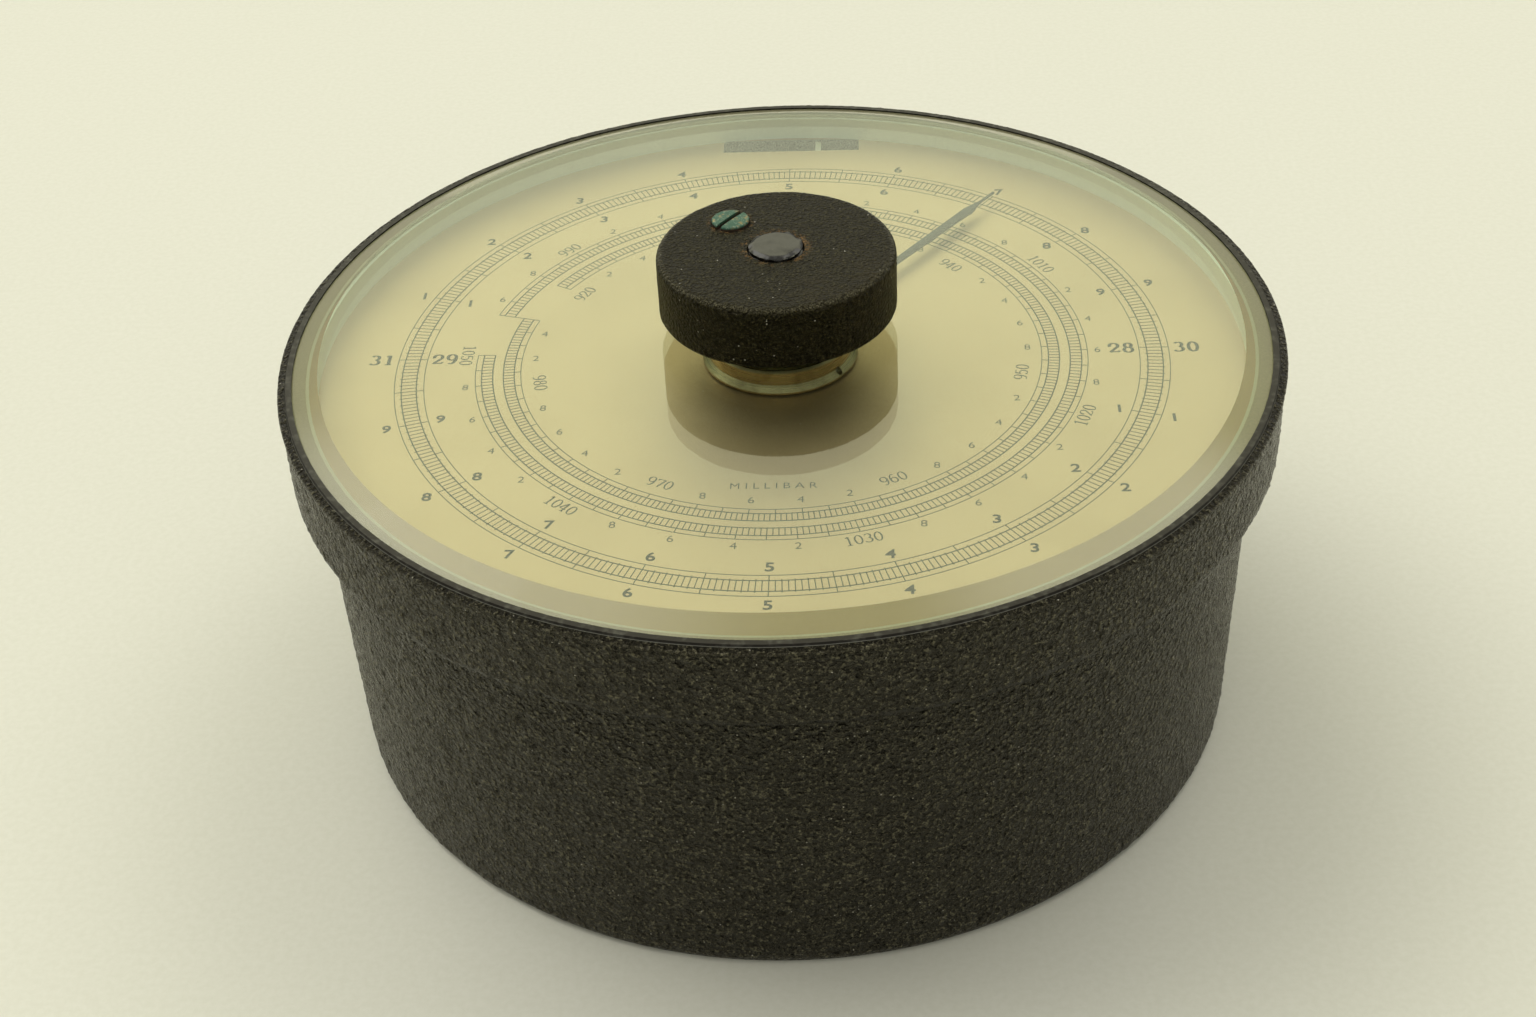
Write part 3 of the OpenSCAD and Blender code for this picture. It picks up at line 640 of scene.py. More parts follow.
@dataclass(frozen=True)
class Verdigris(Finish):
    """Old brass screw head, crusted green with verdigris, brown dirt packed in the slot.

    The crust lies in patches about a millimetre wide; bare brass shows between them.
    """

    name: str = "verdigris_brass_head"
    brass: str = "#8F7A4C"
    green: str = "#2F5A45"
    pale: str = "#8FA893"
    dirt: str = "#3A2A1C"
    floor_z: float = 81.5

    def shade(self, tree: Tree) -> Socket:
        """Green and pale crust over brass, and dirt below the level of the head's top.

        Args:
            tree: The material's node tree.

        Returns:
            The shader.
        """
        place = add_node(tree, "TexCoord", out="Object")
        inputs = {"Vector": place, "Scale": per_mm(1.1), "Detail": 4.0, "Roughness": 0.65}
        crust = add_node(tree, "TexNoise", inputs)
        fine = add_node(tree, "TexNoise", {"Vector": place, "Scale": per_mm(0.25)})
        height = add_node(tree, "SeparateXYZ", {0: place}, out=2)
        inputs = {"Value": height, "From Min": self.floor_z * MM, "From Max": (self.floor_z - 0.15) * MM}
        deep = add_node(tree, "MapRange", inputs)
        green = add_node(tree, "MapRange", {"Value": crust, "From Min": 0.34, "From Max": 0.46})
        chalk = add_node(tree, "MapRange", {"Value": fine, "From Min": 0.58, "From Max": 0.7, "To Max": 0.8})
        inputs = {"Value": crust, "From Min": 0.34, "From Max": 0.44, "To Min": 0.9, "To Max": 0.1}
        bare = add_node(tree, "MapRange", inputs)
        clean = add_node(tree, "Math", {0: 1.0, 1: deep}, operation="SUBTRACT")
        inputs = {"Value": crust, "From Min": 0.38, "From Max": 0.55, "To Min": 0.3, "To Max": 0.6}
        small = add_node(tree, "Bump", {"Height": fine, "Distance": 0.03 * MM})
        base = linear(self.brass)
        for share, colour in ((green, self.green), (chalk, self.pale), (deep, self.dirt)):
            base = add_node(tree, "Mix", {0: share, 6: base, 7: linear(colour)}, out=2, data_type="RGBA")
        shader = {
            "Base Color": base,
            "Metallic": add_node(tree, "Math", {0: bare, 1: clean}, operation="MULTIPLY"),
            "Roughness": add_node(tree, "MapRange", inputs),
            "Normal": add_node(tree, "Bump", {"Height": crust, "Distance": 0.12 * MM, "Normal": small}),
        }
        return add_node(tree, "BsdfPrincipled", shader)


# ---- modelling ----


def deselect() -> None:
    """Leaves edit mode and deselects every object."""
    if bpy.context.object and bpy.context.object.mode != "OBJECT":
        bpy.ops.object.mode_set(mode="OBJECT")
    bpy.ops.object.select_all(action="DESELECT")


def activate(obj: Piece) -> None:
    """Makes obj the only selected object and the active one.

    Args:
        obj: The object.
    """
    deselect()
    obj.select_set(True)
    bpy.context.view_layer.objects.active = obj


def edit_all() -> None:
    """Enters edit mode with everything selected."""
    bpy.ops.object.mode_set(mode="EDIT")
    bpy.ops.mesh.select_all(action="SELECT")


def leave_edit() -> None:
    """Goes back to object mode."""
    bpy.ops.object.mode_set(mode="OBJECT")


def named(obj: Piece, name: str) -> Piece:
    """Names an object and its data alike.

    Args:
        obj: The object.
        name: Its new name.

    Returns:
        The same object.
    """
    obj.name = name
    obj.data.name = name
    return obj


def tidy_mesh(obj: Piece, gap: float = 1e-6) -> None:
    """Merges doubles and turns every face outwards.

    Args:
        obj: The piece.
        gap: Distance in metres below which two corners are one.
    """
    activate(obj)
    edit_all()
    bpy.ops.mesh.remove_doubles(threshold=gap)
    bpy.ops.mesh.normals_make_consistent(inside=False)
    leave_edit()


def smooth(obj: Piece, angle: float = 35.0) -> None:
    """Shades smooth over edges flatter than the angle."""
    activate(obj)
    bpy.ops.object.shade_smooth_by_angle(angle=math.radians(angle))


def arc(centre: Point, radius: float, start: float, end: float, steps: int) -> List[Point]:
    """Points on an arc of an outline, with angles in degrees."""
    angles = [math.radians(start + (end - start) * i / steps) for i in range(steps + 1)]
    return [(centre[0] + radius * math.cos(a), centre[1] + radius * math.sin(a)) for a in angles]


def straight(start: Point, end: Point, step: float) -> List[Point]:
    """Points on a straight of an outline, no further apart than step.

    Args:
        start: The first point.
        end: The last point.
        step: The longest distance between points.

    Returns:
        The points.
    """
    count = max(1, math.ceil(math.dist(start, end) / step))
    run, rise = end[0] - start[0], end[1] - start[1]
    return [(start[0] + run * i / count, start[1] + rise * i / count) for i in range(count + 1)]


def trace(name: str, corners: Sequence[Tuple[float, float, float]]) -> Piece:
    """Draws a chain of edges and leaves it in edit mode with everything selected.

    Args:
        name: Name of the new piece.
        corners: The chain's corners in millimetres; the last one may repeat the first.

    Returns:
        The piece, in edit mode.
    """
    deselect()
    bpy.ops.mesh.primitive_plane_add(size=MM)
    obj = named(bpy.context.object, name)
    edit_all()
    bpy.ops.mesh.merge(type="CENTER")
    here = Vector((0, 0, 0))
    for index, corner in enumerate(corners):
        there = Vector(corner) * MM
        if index == 0:
            bpy.ops.transform.translate(value=there - here)
        else:
            bpy.ops.mesh.extrude_vertices_move(TRANSFORM_OT_translate={"value": there - here})
        here = there
    bpy.ops.mesh.select_all(action="SELECT")
    bpy.ops.mesh.remove_doubles(threshold=1e-7)
    return obj


def lathe(name: str, outline: Sequence[Point], steps: int) -> Piece:
    """Turns a closed outline round the axis into a solid of revolution.

    Args:
        name: Name of the new piece.
        outline: Radius and height of each corner, in millimetres, in order round the section.
        steps: Number of steps in the full turn.

    Returns:
        The piece, with its place in its mesh.
    """
    obj = trace(name, [(radius, 0.0, height) for radius, height in [*outline, outline[0]]])
    bpy.ops.mesh.spin(steps=steps, angle=2 * math.pi, center=(0, 0, 0), axis=(0, 0, 1))
    leave_edit()
    tidy_mesh(obj)
    return obj


def roughen(obj: Piece, where: Callable[[Vector], float], basis: str, size: float, depth: float) -> None:
    """Sinks part of a surface by an uneven pattern, never outwards.

    Args:
        obj: The piece, whose mesh is fine enough for the pattern.
        where: Gives the share of the depth for a point in millimetres.
        basis: Blender's name of the noise.
        size: Width of the pattern's features in millimetres.
        depth: Depth of the pattern in millimetres.
    """
    activate(obj)
    group = obj.vertex_groups.new(name="rough")
    for vertex in obj.data.vertices:
        share = where(vertex.co / MM)
        if share > 0:
            group.add([vertex.index], share, "REPLACE")
    pattern = bpy.data.textures.new(f"{obj.name}_pattern", "CLOUDS")
    pattern.noise_basis = basis
    pattern.noise_scale = size * MM
    pattern.noise_depth = 1
    modifier = obj.modifiers.new("rough", "DISPLACE")
    modifier.texture = pattern
    modifier.texture_coords = "LOCAL"
    modifier.vertex_group = group.name
    modifier.strength = depth * MM
    modifier.mid_level = 1.0
    bpy.ops.object.modifier_apply(modifier=modifier.name)
    obj.vertex_groups.clear()
    bpy.data.textures.remove(pattern)


def cut(obj: Piece, cutters: Sequence[Piece]) -> None:
    """Cuts the cutters, which stand clear of each other, out of the piece and deletes them.

    Args:
        obj: The piece.
        cutters: The solids to take away.
    """
    tool = joined(cutters, "cutter")
    activate(obj)
    modifier = obj.modifiers.new("cut", "BOOLEAN")
    modifier.operation = "DIFFERENCE"
    modifier.solver = "EXACT"
    modifier.object = tool
    bpy.ops.object.modifier_apply(modifier=modifier.name)
    bpy.data.objects.remove(tool)


def drill(radius: float, z0: float, z1: float, out: float = 0.0, angle: float = 0.0) -> Piece:
    """An upright round cutter between two heights, at a distance and direction from the axis.

    Args:
        radius: Radius in millimetres.
        z0: Height of the lower end in millimetres.
        z1: Height of the upper end in millimetres.
        out: Distance from the axis in millimetres.
        angle: Direction from the axis in degrees.

    Returns:
        The cutter.
    """
    deselect()
    turn = math.radians(angle)
    place = (out * math.cos(turn) * MM, out * math.sin(turn) * MM, (z0 + z1) / 2 * MM)
    bpy.ops.mesh.primitive_cylinder_add(vertices=64, radius=radius * MM, depth=(z1 - z0) * MM, location=place)
    return bpy.context.object


def joined(parts: Sequence[Piece], name: str) -> Piece:
    """Joins several meshes into one piece.

    Args:
        parts: The meshes; the first one takes in the others.
        name: Name of the result.

    Returns:
        The one piece.
    """
    deselect()
    for part in parts:
        part.select_set(True)
    bpy.context.view_layer.objects.active = parts[0]
    if len(parts) > 1:
        bpy.ops.object.join()
    return named(bpy.context.object, name)


def copied(obj: Piece, move: Matrix) -> Piece:
    """A copy of obj with its own mesh, moved by a matrix.

    Args:
        obj: The object.
        move: The matrix, which goes into the mesh.

    Returns:
        The copy.
    """
    twin = obj.copy()
    twin.data = obj.data.copy()
    twin.data.transform(move)
    bpy.context.collection.objects.link(twin)
    return twin


def fit_out(obj: Piece, finish: Finish, body: Body, stands_for: Iterable[str] = ()) -> None:
    """Gives a new piece its finish and its body, and hides the CAD nodes that it stands for.

    Args:
        obj: The piece.
        finish: Its finish.
        body: The body that it moves with.
        stands_for: The CAD nodes that it replaces.
    """
    obj.data.materials.clear()
    obj.data.materials.append(finish.material())
    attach(obj, body.value)
    names = list(stands_for)
    if names:
        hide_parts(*names)
    LOG.info("%s: %d faces, %s", obj.name, len(obj.data.polygons), finish.name)


def bend_out(
    obj: Piece,
    finish: Finish,
    stands_for: Iterable[str] = (),
) -> None:
    """Gives a flexible piece its finish, bakes its place into its mesh and hides the CAD nodes that it stands for.

    Args:
        obj: The piece.
        finish: Its finish.
        stands_for: The CAD nodes that it replaces.
    """
    obj.data.materials.clear()
    obj.data.materials.append(finish.material())
    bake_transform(obj)
    names = list(stands_for)
    if names:
        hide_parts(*names)
    LOG.info("%s: %d faces, %s", obj.name, len(obj.data.polygons), finish.name)


def node_box(node: str) -> Tuple[Vector, Vector]:
    """Lowest and highest corner of a CAD node in millimetres."""
    low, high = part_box(node)
    return low / MM, high / MM


# ---- sub-assemblies ----


@dataclass
class Case:
    """The case body and the bezel, both in thick black crackle enamel."""

    wall: float = 1.6
    mouth_wall: float = 1.0
    mouth_depth: float = 10.0
    floor: float = 2.0
    taper: float = 1.2
    foot_round: float = 1.8
    bezel_wall: float = 1.3
    grid: float = 0.65
    steps: int = 740
    screw_circle: float = 54.0
    screw_head: float = 3.1
    vent: float = 1.0
    vent_inset: float = 10.0
    vent_angle: float = -65.0
    relief: Tuple[Tuple[str, float, float], ...] = (("VORONOI_F2_F1", 1.15, 0.34), ("BLENDER_ORIGINAL", 2.2, 0.22))

    def build(self) -> None:
        """Builds both skins."""
        paint = CracklePaint()
        self.body(paint)
        self.bezel(paint)

    def body(self, paint: Finish) -> None:
        """The tapering body: rounded foot, thin mouth, flat floor with its screw holes.

        Args:
            paint: The enamel.
        """
        top = node_box("case_body")[1]
        out, seat = top.x, top.z
        joint = node_box("bezel")[0].z
        foot, turn = out - self.taper, self.foot_round
        outline = [
            *straight((0, 0), (foot - turn, 0), 12)[:-1],
            *arc((foot - turn, turn), turn, -90, 0, 5)[:-1],
            *straight((foot, turn), (out, joint), self.grid)[:-1],
            *straight((out, joint), (out, seat), self.grid * 2),
            (out - self.mouth_wall, seat),
            (out - self.mouth_wall, seat - self.mouth_depth),
            (out - self.wall, seat - self.mouth_depth - 1),
            (foot - self.wall, self.floor),
            (0, self.floor),
        ]
        skin = lathe("case_skin", outline, self.steps)

        def painted(p: Vector) -> float:
            """The outside, from just above the floor to the joint."""
            return 1.0 if math.hypot(p.x, p.y) > foot - 0.9 and 0.3 < p.z < joint + 0.4 else 0.0

        for basis, size, depth in self.relief:
            roughen(skin, painted, basis, size, depth)
        holes = [drill(self.screw_head, -1, 2.3, self.screw_circle, a) for a in (45, 135, 225, 315)]
        holes.append(drill(self.vent, -1, 3, node_box("base_plate")[1].x - self.vent_inset, self.vent_angle))
        cut(skin, holes)
        smooth(skin, 40)
        fit_out(skin, paint, Body.CASE, ["case_body"])

    def bezel(self, paint: Finish) -> None:
        """The band round the glass; its enamel rounds the corners over.

        Args:
            paint: The enamel.
        """
        low, high = node_box("bezel")
        out, turn = high.x, 0.9
        fit = node_box("case_body")[1].x + 0.02
        inner = out - self.bezel_wall
        outline = [
            (fit, low.z),
            *straight((fit, low.z), (out - turn, low.z), self.grid)[1:-1],
            *arc((out - turn, low.z + turn), turn, -90, 0, 4)[:-1],
            *straight((out, low.z + turn), (out, high.z - 0.5), self.grid)[:-1],
            *arc((out - 0.5, high.z - 0.5), 0.5, 0, 90, 3),
            (inner, high.z),
            (inner, high.z - 0.7),
            (inner, node_box("case_body")[1].z),
            (fit, node_box("case_body")[1].z),
        ]
        skin = lathe("bezel_skin", outline, self.steps)

        def painted(p: Vector) -> float:
            """Full on the outside, half over the top edge, none inside.

            Args:
                p: A point of the surface, in millimetres.

            Returns:
                Share of the relief there.
            """
            if math.hypot(p.x, p.y) < inner + 0.3:
                return 0.0
            return 1.0 if p.z < high.z - 0.6 else 0.35

        for basis, size, depth in self.relief:
            roughen(skin, painted, basis, size, depth)
        smooth(skin, 40)
        fit_out(skin, paint, Body.CASE, ["bezel"])


@dataclass
class Glazing:
    """The bevelled glass and the rings that hold it."""

    bevel_width: float = 4.6
    bevel_drop: float = 1.6
    polish: float = 0.08
    seat: float = 0.03
    hole: float = 6.45
    steps: int = 360

    def build(self) -> None:
        """Builds the glass and dresses its rings."""
        low, high = node_box("glass")
        out, rim = high.x, high.z - self.bevel_drop
        edge = self.polish
        outline = [
            (self.hole, low.z + self.seat),
            (out - edge, low.z + self.seat),
            (out, low.z + self.seat + edge),
            (out, rim),
            (out - self.bevel_width, high.z),
            (self.hole, high.z),
        ]
        pane = lathe("glass_pane", outline, self.steps)
        smooth(pane, 12)
        fit_out(pane, PlateGlass(), Body.CASE, ["glass"])
        # A ground bevel: it blurs what lies below it. Its pale cream colour is partly its own scatter and partly
        # painted light, standing in for the lit ring seen through it.
        bevel = PlateGlass("ground_bevel_glass_painted_pale", "#E9E0B4", roughness=0.08, clearness=0.75)
        pane.data.materials.append(bevel.material())
        for face in pane.data.polygons:
            if 0.5 < face.normal.z < 0.99:
                face.material_index = 1
        # Aluminium etched to a frost: it scatters, so the ring looks pale and even all round.
        dress("bright_ring", Plain("frosted_aluminium", "#E2E4D6", "#D6D8C8", 0.5, 0.3, 0.006, 0.3))
        # The strip's lip is painted black as painted shade.
        dress("glass_retaining_ring", BlackedStrip(lip_z=rim))
        # Pressed wool felt: dull, and a warm grey through the glass.
        dress("glass_gasket", Plain("grey_felt", "#B9B59C", "#A6A28A", 0.8, 0.4, 0.02))


def bow(x: float, y: float, wide: float, high: float, start: float, end: float) -> List[Point]:
    """Points on an upright oval, between two angles in degrees."""
    return [(x + wide * c, y + high * k) for c, k in arc((0, 0), 1, start, end, 18)]


SIX = [bow(0, -0.19, 0.24, 0.29, 0, 360), bow(0.04, -0.12, 0.28, 0.6, 68, 180)]

ROMAN_STROKES: Dict[str, List[List[Point]]] = {
    "0": [bow(0, 0, 0.25, 0.48, 0, 360)],
    "1": [[(0.02, 0.48), (0.02, -0.48)], [(-0.16, 0.34), (0.0, 0.46)], [(-0.18, -0.48), (0.2, -0.48)]],
    "2": [
        bow(-0.01, 0.21, 0.24, 0.26, 200, -35),
        [(0.19, 0.08), (-0.24, -0.45)],
        [(-0.26, -0.42), (0.26, -0.42), (0.27, -0.3)],
    ],
    "3": [bow(-0.02, 0.25, 0.21, 0.22, 150, -80), bow(-0.03, -0.22, 0.26, 0.25, 85, -150)],
    "4": [
        [(0.08, 0.48), (-0.28, -0.2)],
        [(-0.28, -0.2), (0.28, -0.2)],
        [(0.1, 0.48), (0.1, -0.48)],
        [(-0.06, -0.48), (0.24, -0.48)],
    ],
    "5": [[(-0.16, 0.4), (0.2, 0.44)], [(-0.17, 0.46), (-0.19, 0.02)], bow(-0.02, -0.17, 0.25, 0.3, 130, -150)],
    "6": SIX,
    "7": [[(-0.24, 0.42), (0.26, 0.42)], [(0.26, 0.44), (-0.02, -0.48)], [(-0.24, 0.44), (-0.25, 0.28)]],
    "8": [bow(0, 0.24, 0.19, 0.23, 0, 360), bow(0, -0.22, 0.24, 0.26, 0, 360)],
    "9": [[(-x, -y) for x, y in stroke] for stroke in SIX],
}


@dataclass
class RomanFigures:
    """Upright figures with thick stems and hair strokes, as a broad pen held level draws them."""

    stem: float = 0.15
    hair: float = 0.06
    advance: float = 0.62

    def stroke(self, path: Sequence[Point], shift: float, height: float) -> List[Point]:
        """Outline of one stroke in millimetres: wide where it runs up and down, thin where it runs level.

        Args:
            path: The stroke's middle line, as shares of the height.
            shift: Sideways place of the digit, as a share of the height.
            height: Height of the figures in millimetres.

        Returns:
            Corners down one side and back up the other.
        """
        left: List[Point] = []
        right: List[Point] = []
        for index, (x, y) in enumerate(path):
            back, ahead = path[max(index - 1, 0)], path[min(index + 1, len(path) - 1)]
            if path[0] == path[-1] or math.dist(path[0], path[-1]) < 1e-6:
                back = path[index - 1] if index else path[-2]
                ahead = path[index + 1] if index < len(path) - 1 else path[1]
            run = math.atan2(ahead[1] - back[1], ahead[0] - back[0])
            half = 0.5 * math.hypot(self.stem * math.sin(run), self.hair * math.cos(run))
            side = (-math.sin(run) * half, math.cos(run) * half)
            left.append(((x + shift + side[0]) * height, (y + side[1]) * height))
            right.append(((x + shift - side[0]) * height, (y - side[1]) * height))
        return left + right[::-1]

    def draw(self, number: str, height: float, bottom: float, depth: float) -> Piece:
        """A whole number as one thin solid, centred on the axis.

        Args:
            number: The digits.
            height: Height of the figures in millimetres.
            bottom: Height of the ink's underside in millimetres.
            depth: Thickness of the ink in millimetres.

        Returns:
            The number, with its place in its mesh.
        """
        parts: List[Piece] = []
        for place, digit in enumerate(number):
            shift = (place - (len(number) - 1) / 2) * self.advance
            for path in ROMAN_STROKES[digit]:
                half = self.stroke(path, shift, height)
                count = len(path)
                part = trace("stroke", [(x, y, bottom) for x, y in half[:count]])
                leave_edit()
                other = trace("stroke", [(x, y, bottom) for x, y in half[count:]])
                leave_edit()
                ribbon = joined([part, other], "stroke")
                edit_all()
                bpy.ops.mesh.bridge_edge_loops()
                bpy.ops.mesh.select_all(action="SELECT")
                bpy.ops.mesh.extrude_region_move(TRANSFORM_OT_translate={"value": (0, 0, depth * MM)})
                leave_edit()
                tidy_mesh(ribbon)
                parts.append(ribbon)
        return joined(parts, "number")


@dataclass
class Dial:
    """The gilt dial plate with its printed scales and figures."""

    ink_depth: float = 0.03
    thin: float = 0.14
    band: float = 0.2
    fine: float = 0.15
    inch_rings: Tuple[float, ...] = (57.4, 58.6, 61.0, 62.1)
    low_rings: Tuple[float, ...] = (41.9, 42.95, 44.7)
    high_rings: Tuple[float, ...] = (46.4, 48.2, 49.2)
    degrees_per_mb: float = 5.315
    mb_at_nine: float = 982.05
    low_mb: int = 920
    change_mb: int = 985
    high_mb: int = 1050

    def build(self) -> None:
        """Dresses the plate and prints it."""
        self.face = node_box("dial_plate")[1].z
        # Matt engraver's ink: near black, without a shine of its own.
        self.ink = Plain("printing_ink", "#191B18", "#23241F", 0.75, 0.25, 0.004, 0.0, 0.1)
        dress("dial_plate", GiltDial())
        self.print_lines()
        self.print_ticks()
        self.print_figures()

    def mb_angle(self, pressure: float) -> float:
        """Direction of a pressure on the millibar scale, in degrees."""
        return 180 - (pressure - self.mb_at_nine) * self.degrees_per_mb

    def bar(self, name: str, r0: float, r1: float, width: float, angle: float) -> Piece:
        """A short printed line along a radius.

        Args:
            name: Name of the line.
            r0: Inner end in millimetres.
            r1: Outer end in millimetres.
            width: Width in millimetres.
            angle: Direction in degrees.

        Returns:
            The line.
        """
        deselect()
        bpy.ops.mesh.primitive_cube_add(size=MM)
        stroke = named(bpy.context.object, name)
        edit_all()
        bpy.ops.transform.resize(value=(r1 - r0, width, self.ink_depth))
        bpy.ops.transform.translate(value=((r0 + r1) / 2 * MM, 0, (self.face + self.ink_depth / 4) * MM))
        leave_edit()
        stroke.data.transform(Matrix.Rotation(math.radians(angle), 4, "Z"))
        return stroke

    def bars(self, name: str, r0: float, r1: float, width: float, start: float, step: float, count: int) -> Piece:
        """A row of radial bars, the first at start and each step degrees on. A positive spin runs clockwise.

        Args:
            name: Name of the row.
            r0: Inner end in millimetres.
            r1: Outer end in millimetres.
            width: Width in millimetres.
            start: Direction of the first bar in degrees.
            step: Degrees from one bar to the next.
            count: Number of bars.

        Returns:
            The row, as one mesh.
        """
        row = self.bar(name, r0, r1, width, start)
        if count > 1:
            activate(row)
            edit_all()
            turn = math.radians(step * (count - 1))
            bpy.ops.mesh.spin(steps=count - 1, angle=-turn, dupli=True, center=(0, 0, 0), axis=(0, 0, 1))
            leave_edit()
        return row

    def ring(self, name: str, radius: float, width: float, start: float = 0.0, sweep: float = 360.0) -> Piece:
        """A printed circle, or an arc of one.

        Args:
            name: Name of the line.
            radius: Radius of its middle in millimetres.
            width: Width in millimetres.
            start: Direction of its start in degrees.
            sweep: Degrees that it runs on, negative for clockwise.

        Returns:
            The line.
        """
        top, bottom = self.face + 0.75 * self.ink_depth, self.face - 0.25 * self.ink_depth
        if sweep >= 360:
            half = width / 2
            corners = [(radius - half, bottom), (radius + half, bottom), (radius + half, top), (radius - half, top)]
            return lathe(name, corners, 360)
        deselect()
        bpy.ops.mesh.primitive_plane_add(size=MM, rotation=(math.pi / 2, 0, 0))
        line = named(bpy.context.object, name)
        bpy.ops.object.transform_apply(location=True, rotation=True, scale=True)
        edit_all()
        bpy.ops.transform.resize(value=(width, 1, self.ink_depth))
        bpy.ops.transform.translate(value=(radius * MM, 0, (self.face + self.ink_depth / 4) * MM))
        steps = max(8, int(abs(sweep)))
        bpy.ops.mesh.spin(steps=steps, angle=-math.radians(sweep), center=(0, 0, 0), axis=(0, 0, 1))
        leave_edit()
        line.data.transform(Matrix.Rotation(math.radians(start), 4, "Z"))
        tidy_mesh(line)
        return line

    def print_lines(self) -> None:
        """The circles of the inch scale and the two winding bands of the millibar scale."""
        low, change, high = (self.mb_angle(p) for p in (self.low_mb, self.change_mb, self.high_mb))
        lines = [self.ring("line", r, w) for r, w in zip(self.inch_rings, (self.thin, self.band, self.band, self.thin))]
        low_lines = zip(self.low_rings, (self.thin, self.band, self.band))
        lines += [self.ring("line", r, w, change, low - change) for r, w in low_lines]
        high_lines = zip(self.high_rings, (self.band, self.band, self.thin))
        lines += [self.ring("line", r, w, high, change - high) for r, w in high_lines]
        lines.append(self.bar("line", self.low_rings[0], self.high_rings[-1], self.thin, change))
        lines.append(self.bar("line", self.high_rings[0], self.high_rings[-1], self.thin, high))
        lines.append(self.bar("line", self.low_rings[0], self.low_rings[-1], self.thin, low))
        fit_out(joined(lines, "scale_lines"), self.ink, Body.CASE)

    def print_ticks(self) -> None:
        """Inch ticks every 0.005 inch, millibar ticks every fifth of a millibar."""
        thin_in, band_in, band_out, thin_out = self.inch_rings
        ticks = [
            self.bars("tick", band_in, band_out, self.fine, 0, 0.9, 400),
            self.bars("tick", band_in - 0.3, band_out + 0.3, self.fine, 0, 1.8, 200),
            self.bars("tick", thin_in, thin_out, self.fine, 0, 9, 40),
        ]
        fit_out(joined(ticks, "inch_ticks"), self.ink, Body.CASE)
        fifth = -self.degrees_per_mb / 5
        low = self.mb_angle(self.low_mb)
        change = self.mb_angle(self.change_mb)
        count = self.change_mb - self.low_mb
        _, low_in, low_out = self.low_rings
        high_in, high_out, high_thin = self.high_rings
        ticks = [
            self.bars("tick", low_in, low_out, self.fine, low, fifth, count * 5 + 1),
            self.bars("tick", self.low_rings[0], low_out, self.fine, low, fifth * 5, count + 1),
            self.bars("tick", high_in, high_out, self.fine, change, fifth, count * 5 + 1),
            self.bars("tick", high_in, high_thin, self.fine, change, fifth * 5, count + 1),
        ]
        fit_out(joined(ticks, "millibar_ticks"), self.ink, Body.CASE)

    def figure(self, text: str, style: Lettering, height: float) -> Piece:
        """One figure or word of a given height, centred on the axis and lying on the dial.

        Args:
            text: The figure or word.
            style: Its weight.
            height: Height of the letters in millimetres.

        Returns:
            The figure, as a mesh.
        """
        deselect()
        bpy.ops.object.text_add()
        letters = bpy.context.object
        letters.data.body = text
        letters.data.align_x = "CENTER"
        letters.data.resolution_u = 3
        letters.data.extrude = 0.01
        letters.data.offset = {Lettering.BOLD: 0.022, Lettering.LIGHT: -0.006}[style]
        bpy.ops.object.convert(target="MESH")
        letters = bpy.context.object
        corners = [v.co for v in letters.data.vertices]
        low = Vector((min(c.x for c in corners), min(c.y for c in corners), min(c.z for c in corners)))
        high = Vector((max(c.x for c in corners), max(c.y for c in corners), max(c.z for c in corners)))
        grow = height * MM / (high.y - low.y)
        wide = {Lettering.BOLD: 1.12, Lettering.LIGHT: 1.05}[style]
        deep = self.ink_depth * MM / (high.z - low.z)
        middle = (low + high) / 2
        size = Matrix.Diagonal((grow * wide, grow, deep, 1))
        letters.data.transform(size @ Matrix.Translation(-middle))
        letters.data.transform(Matrix.Translation((0, 0, (self.face + self.ink_depth / 4) * MM)))
        return letters

    def placed(self, made: Piece, radius: float, angle: float, lean: float = 0.0) -> Piece:
        """A copy of a figure at a distance and direction from the axis, leaned by some degrees.

        Args:
            made: The figure.
            radius: Distance from the axis in millimetres.
            angle: Direction in degrees.
            lean: Turn of the figure in degrees.

        Returns:
            The copy.
        """
        turn = math.radians(angle)
        move = Matrix.Translation((radius * math.cos(turn) * MM, radius * math.sin(turn) * MM, 0))
        return copied(made, move @ Matrix.Rotation(math.radians(lean), 4, "Z"))

    def print_figures(self) -> None:
        """Figures of both scales, and the name of the inner scale's unit."""
        digits = {d: self.figure(str(d), Lettering.BOLD, 2.05) for d in range(1, 10)}
        inch: List[Piece] = []
        for tenth, made in digits.items():
            for start in (0, 180):
                angle = start - 18 * tenth
                inch.append(self.placed(made, 55.5, angle))
                if start - 18 * tenth != 90:
                    inch.append(self.placed(made, 64.05, angle))
        for whole, radius, angle in ((28, 54.6, 0), (30, 64.9, 0), (29, 54.6, 180), (31, 64.9, 180)):
            made = RomanFigures(0.2, 0.08, 0.8).draw(str(whole), 2.8, self.face - 0.25 * self.ink_depth, self.ink_depth)
            inch.append(self.placed(made, radius, angle))
            bpy.data.objects.remove(made)
        for made in digits.values():
            bpy.data.objects.remove(made)
        fit_out(joined(inch, "inch_figures"), self.ink, Body.CASE)
        self.print_millibars()

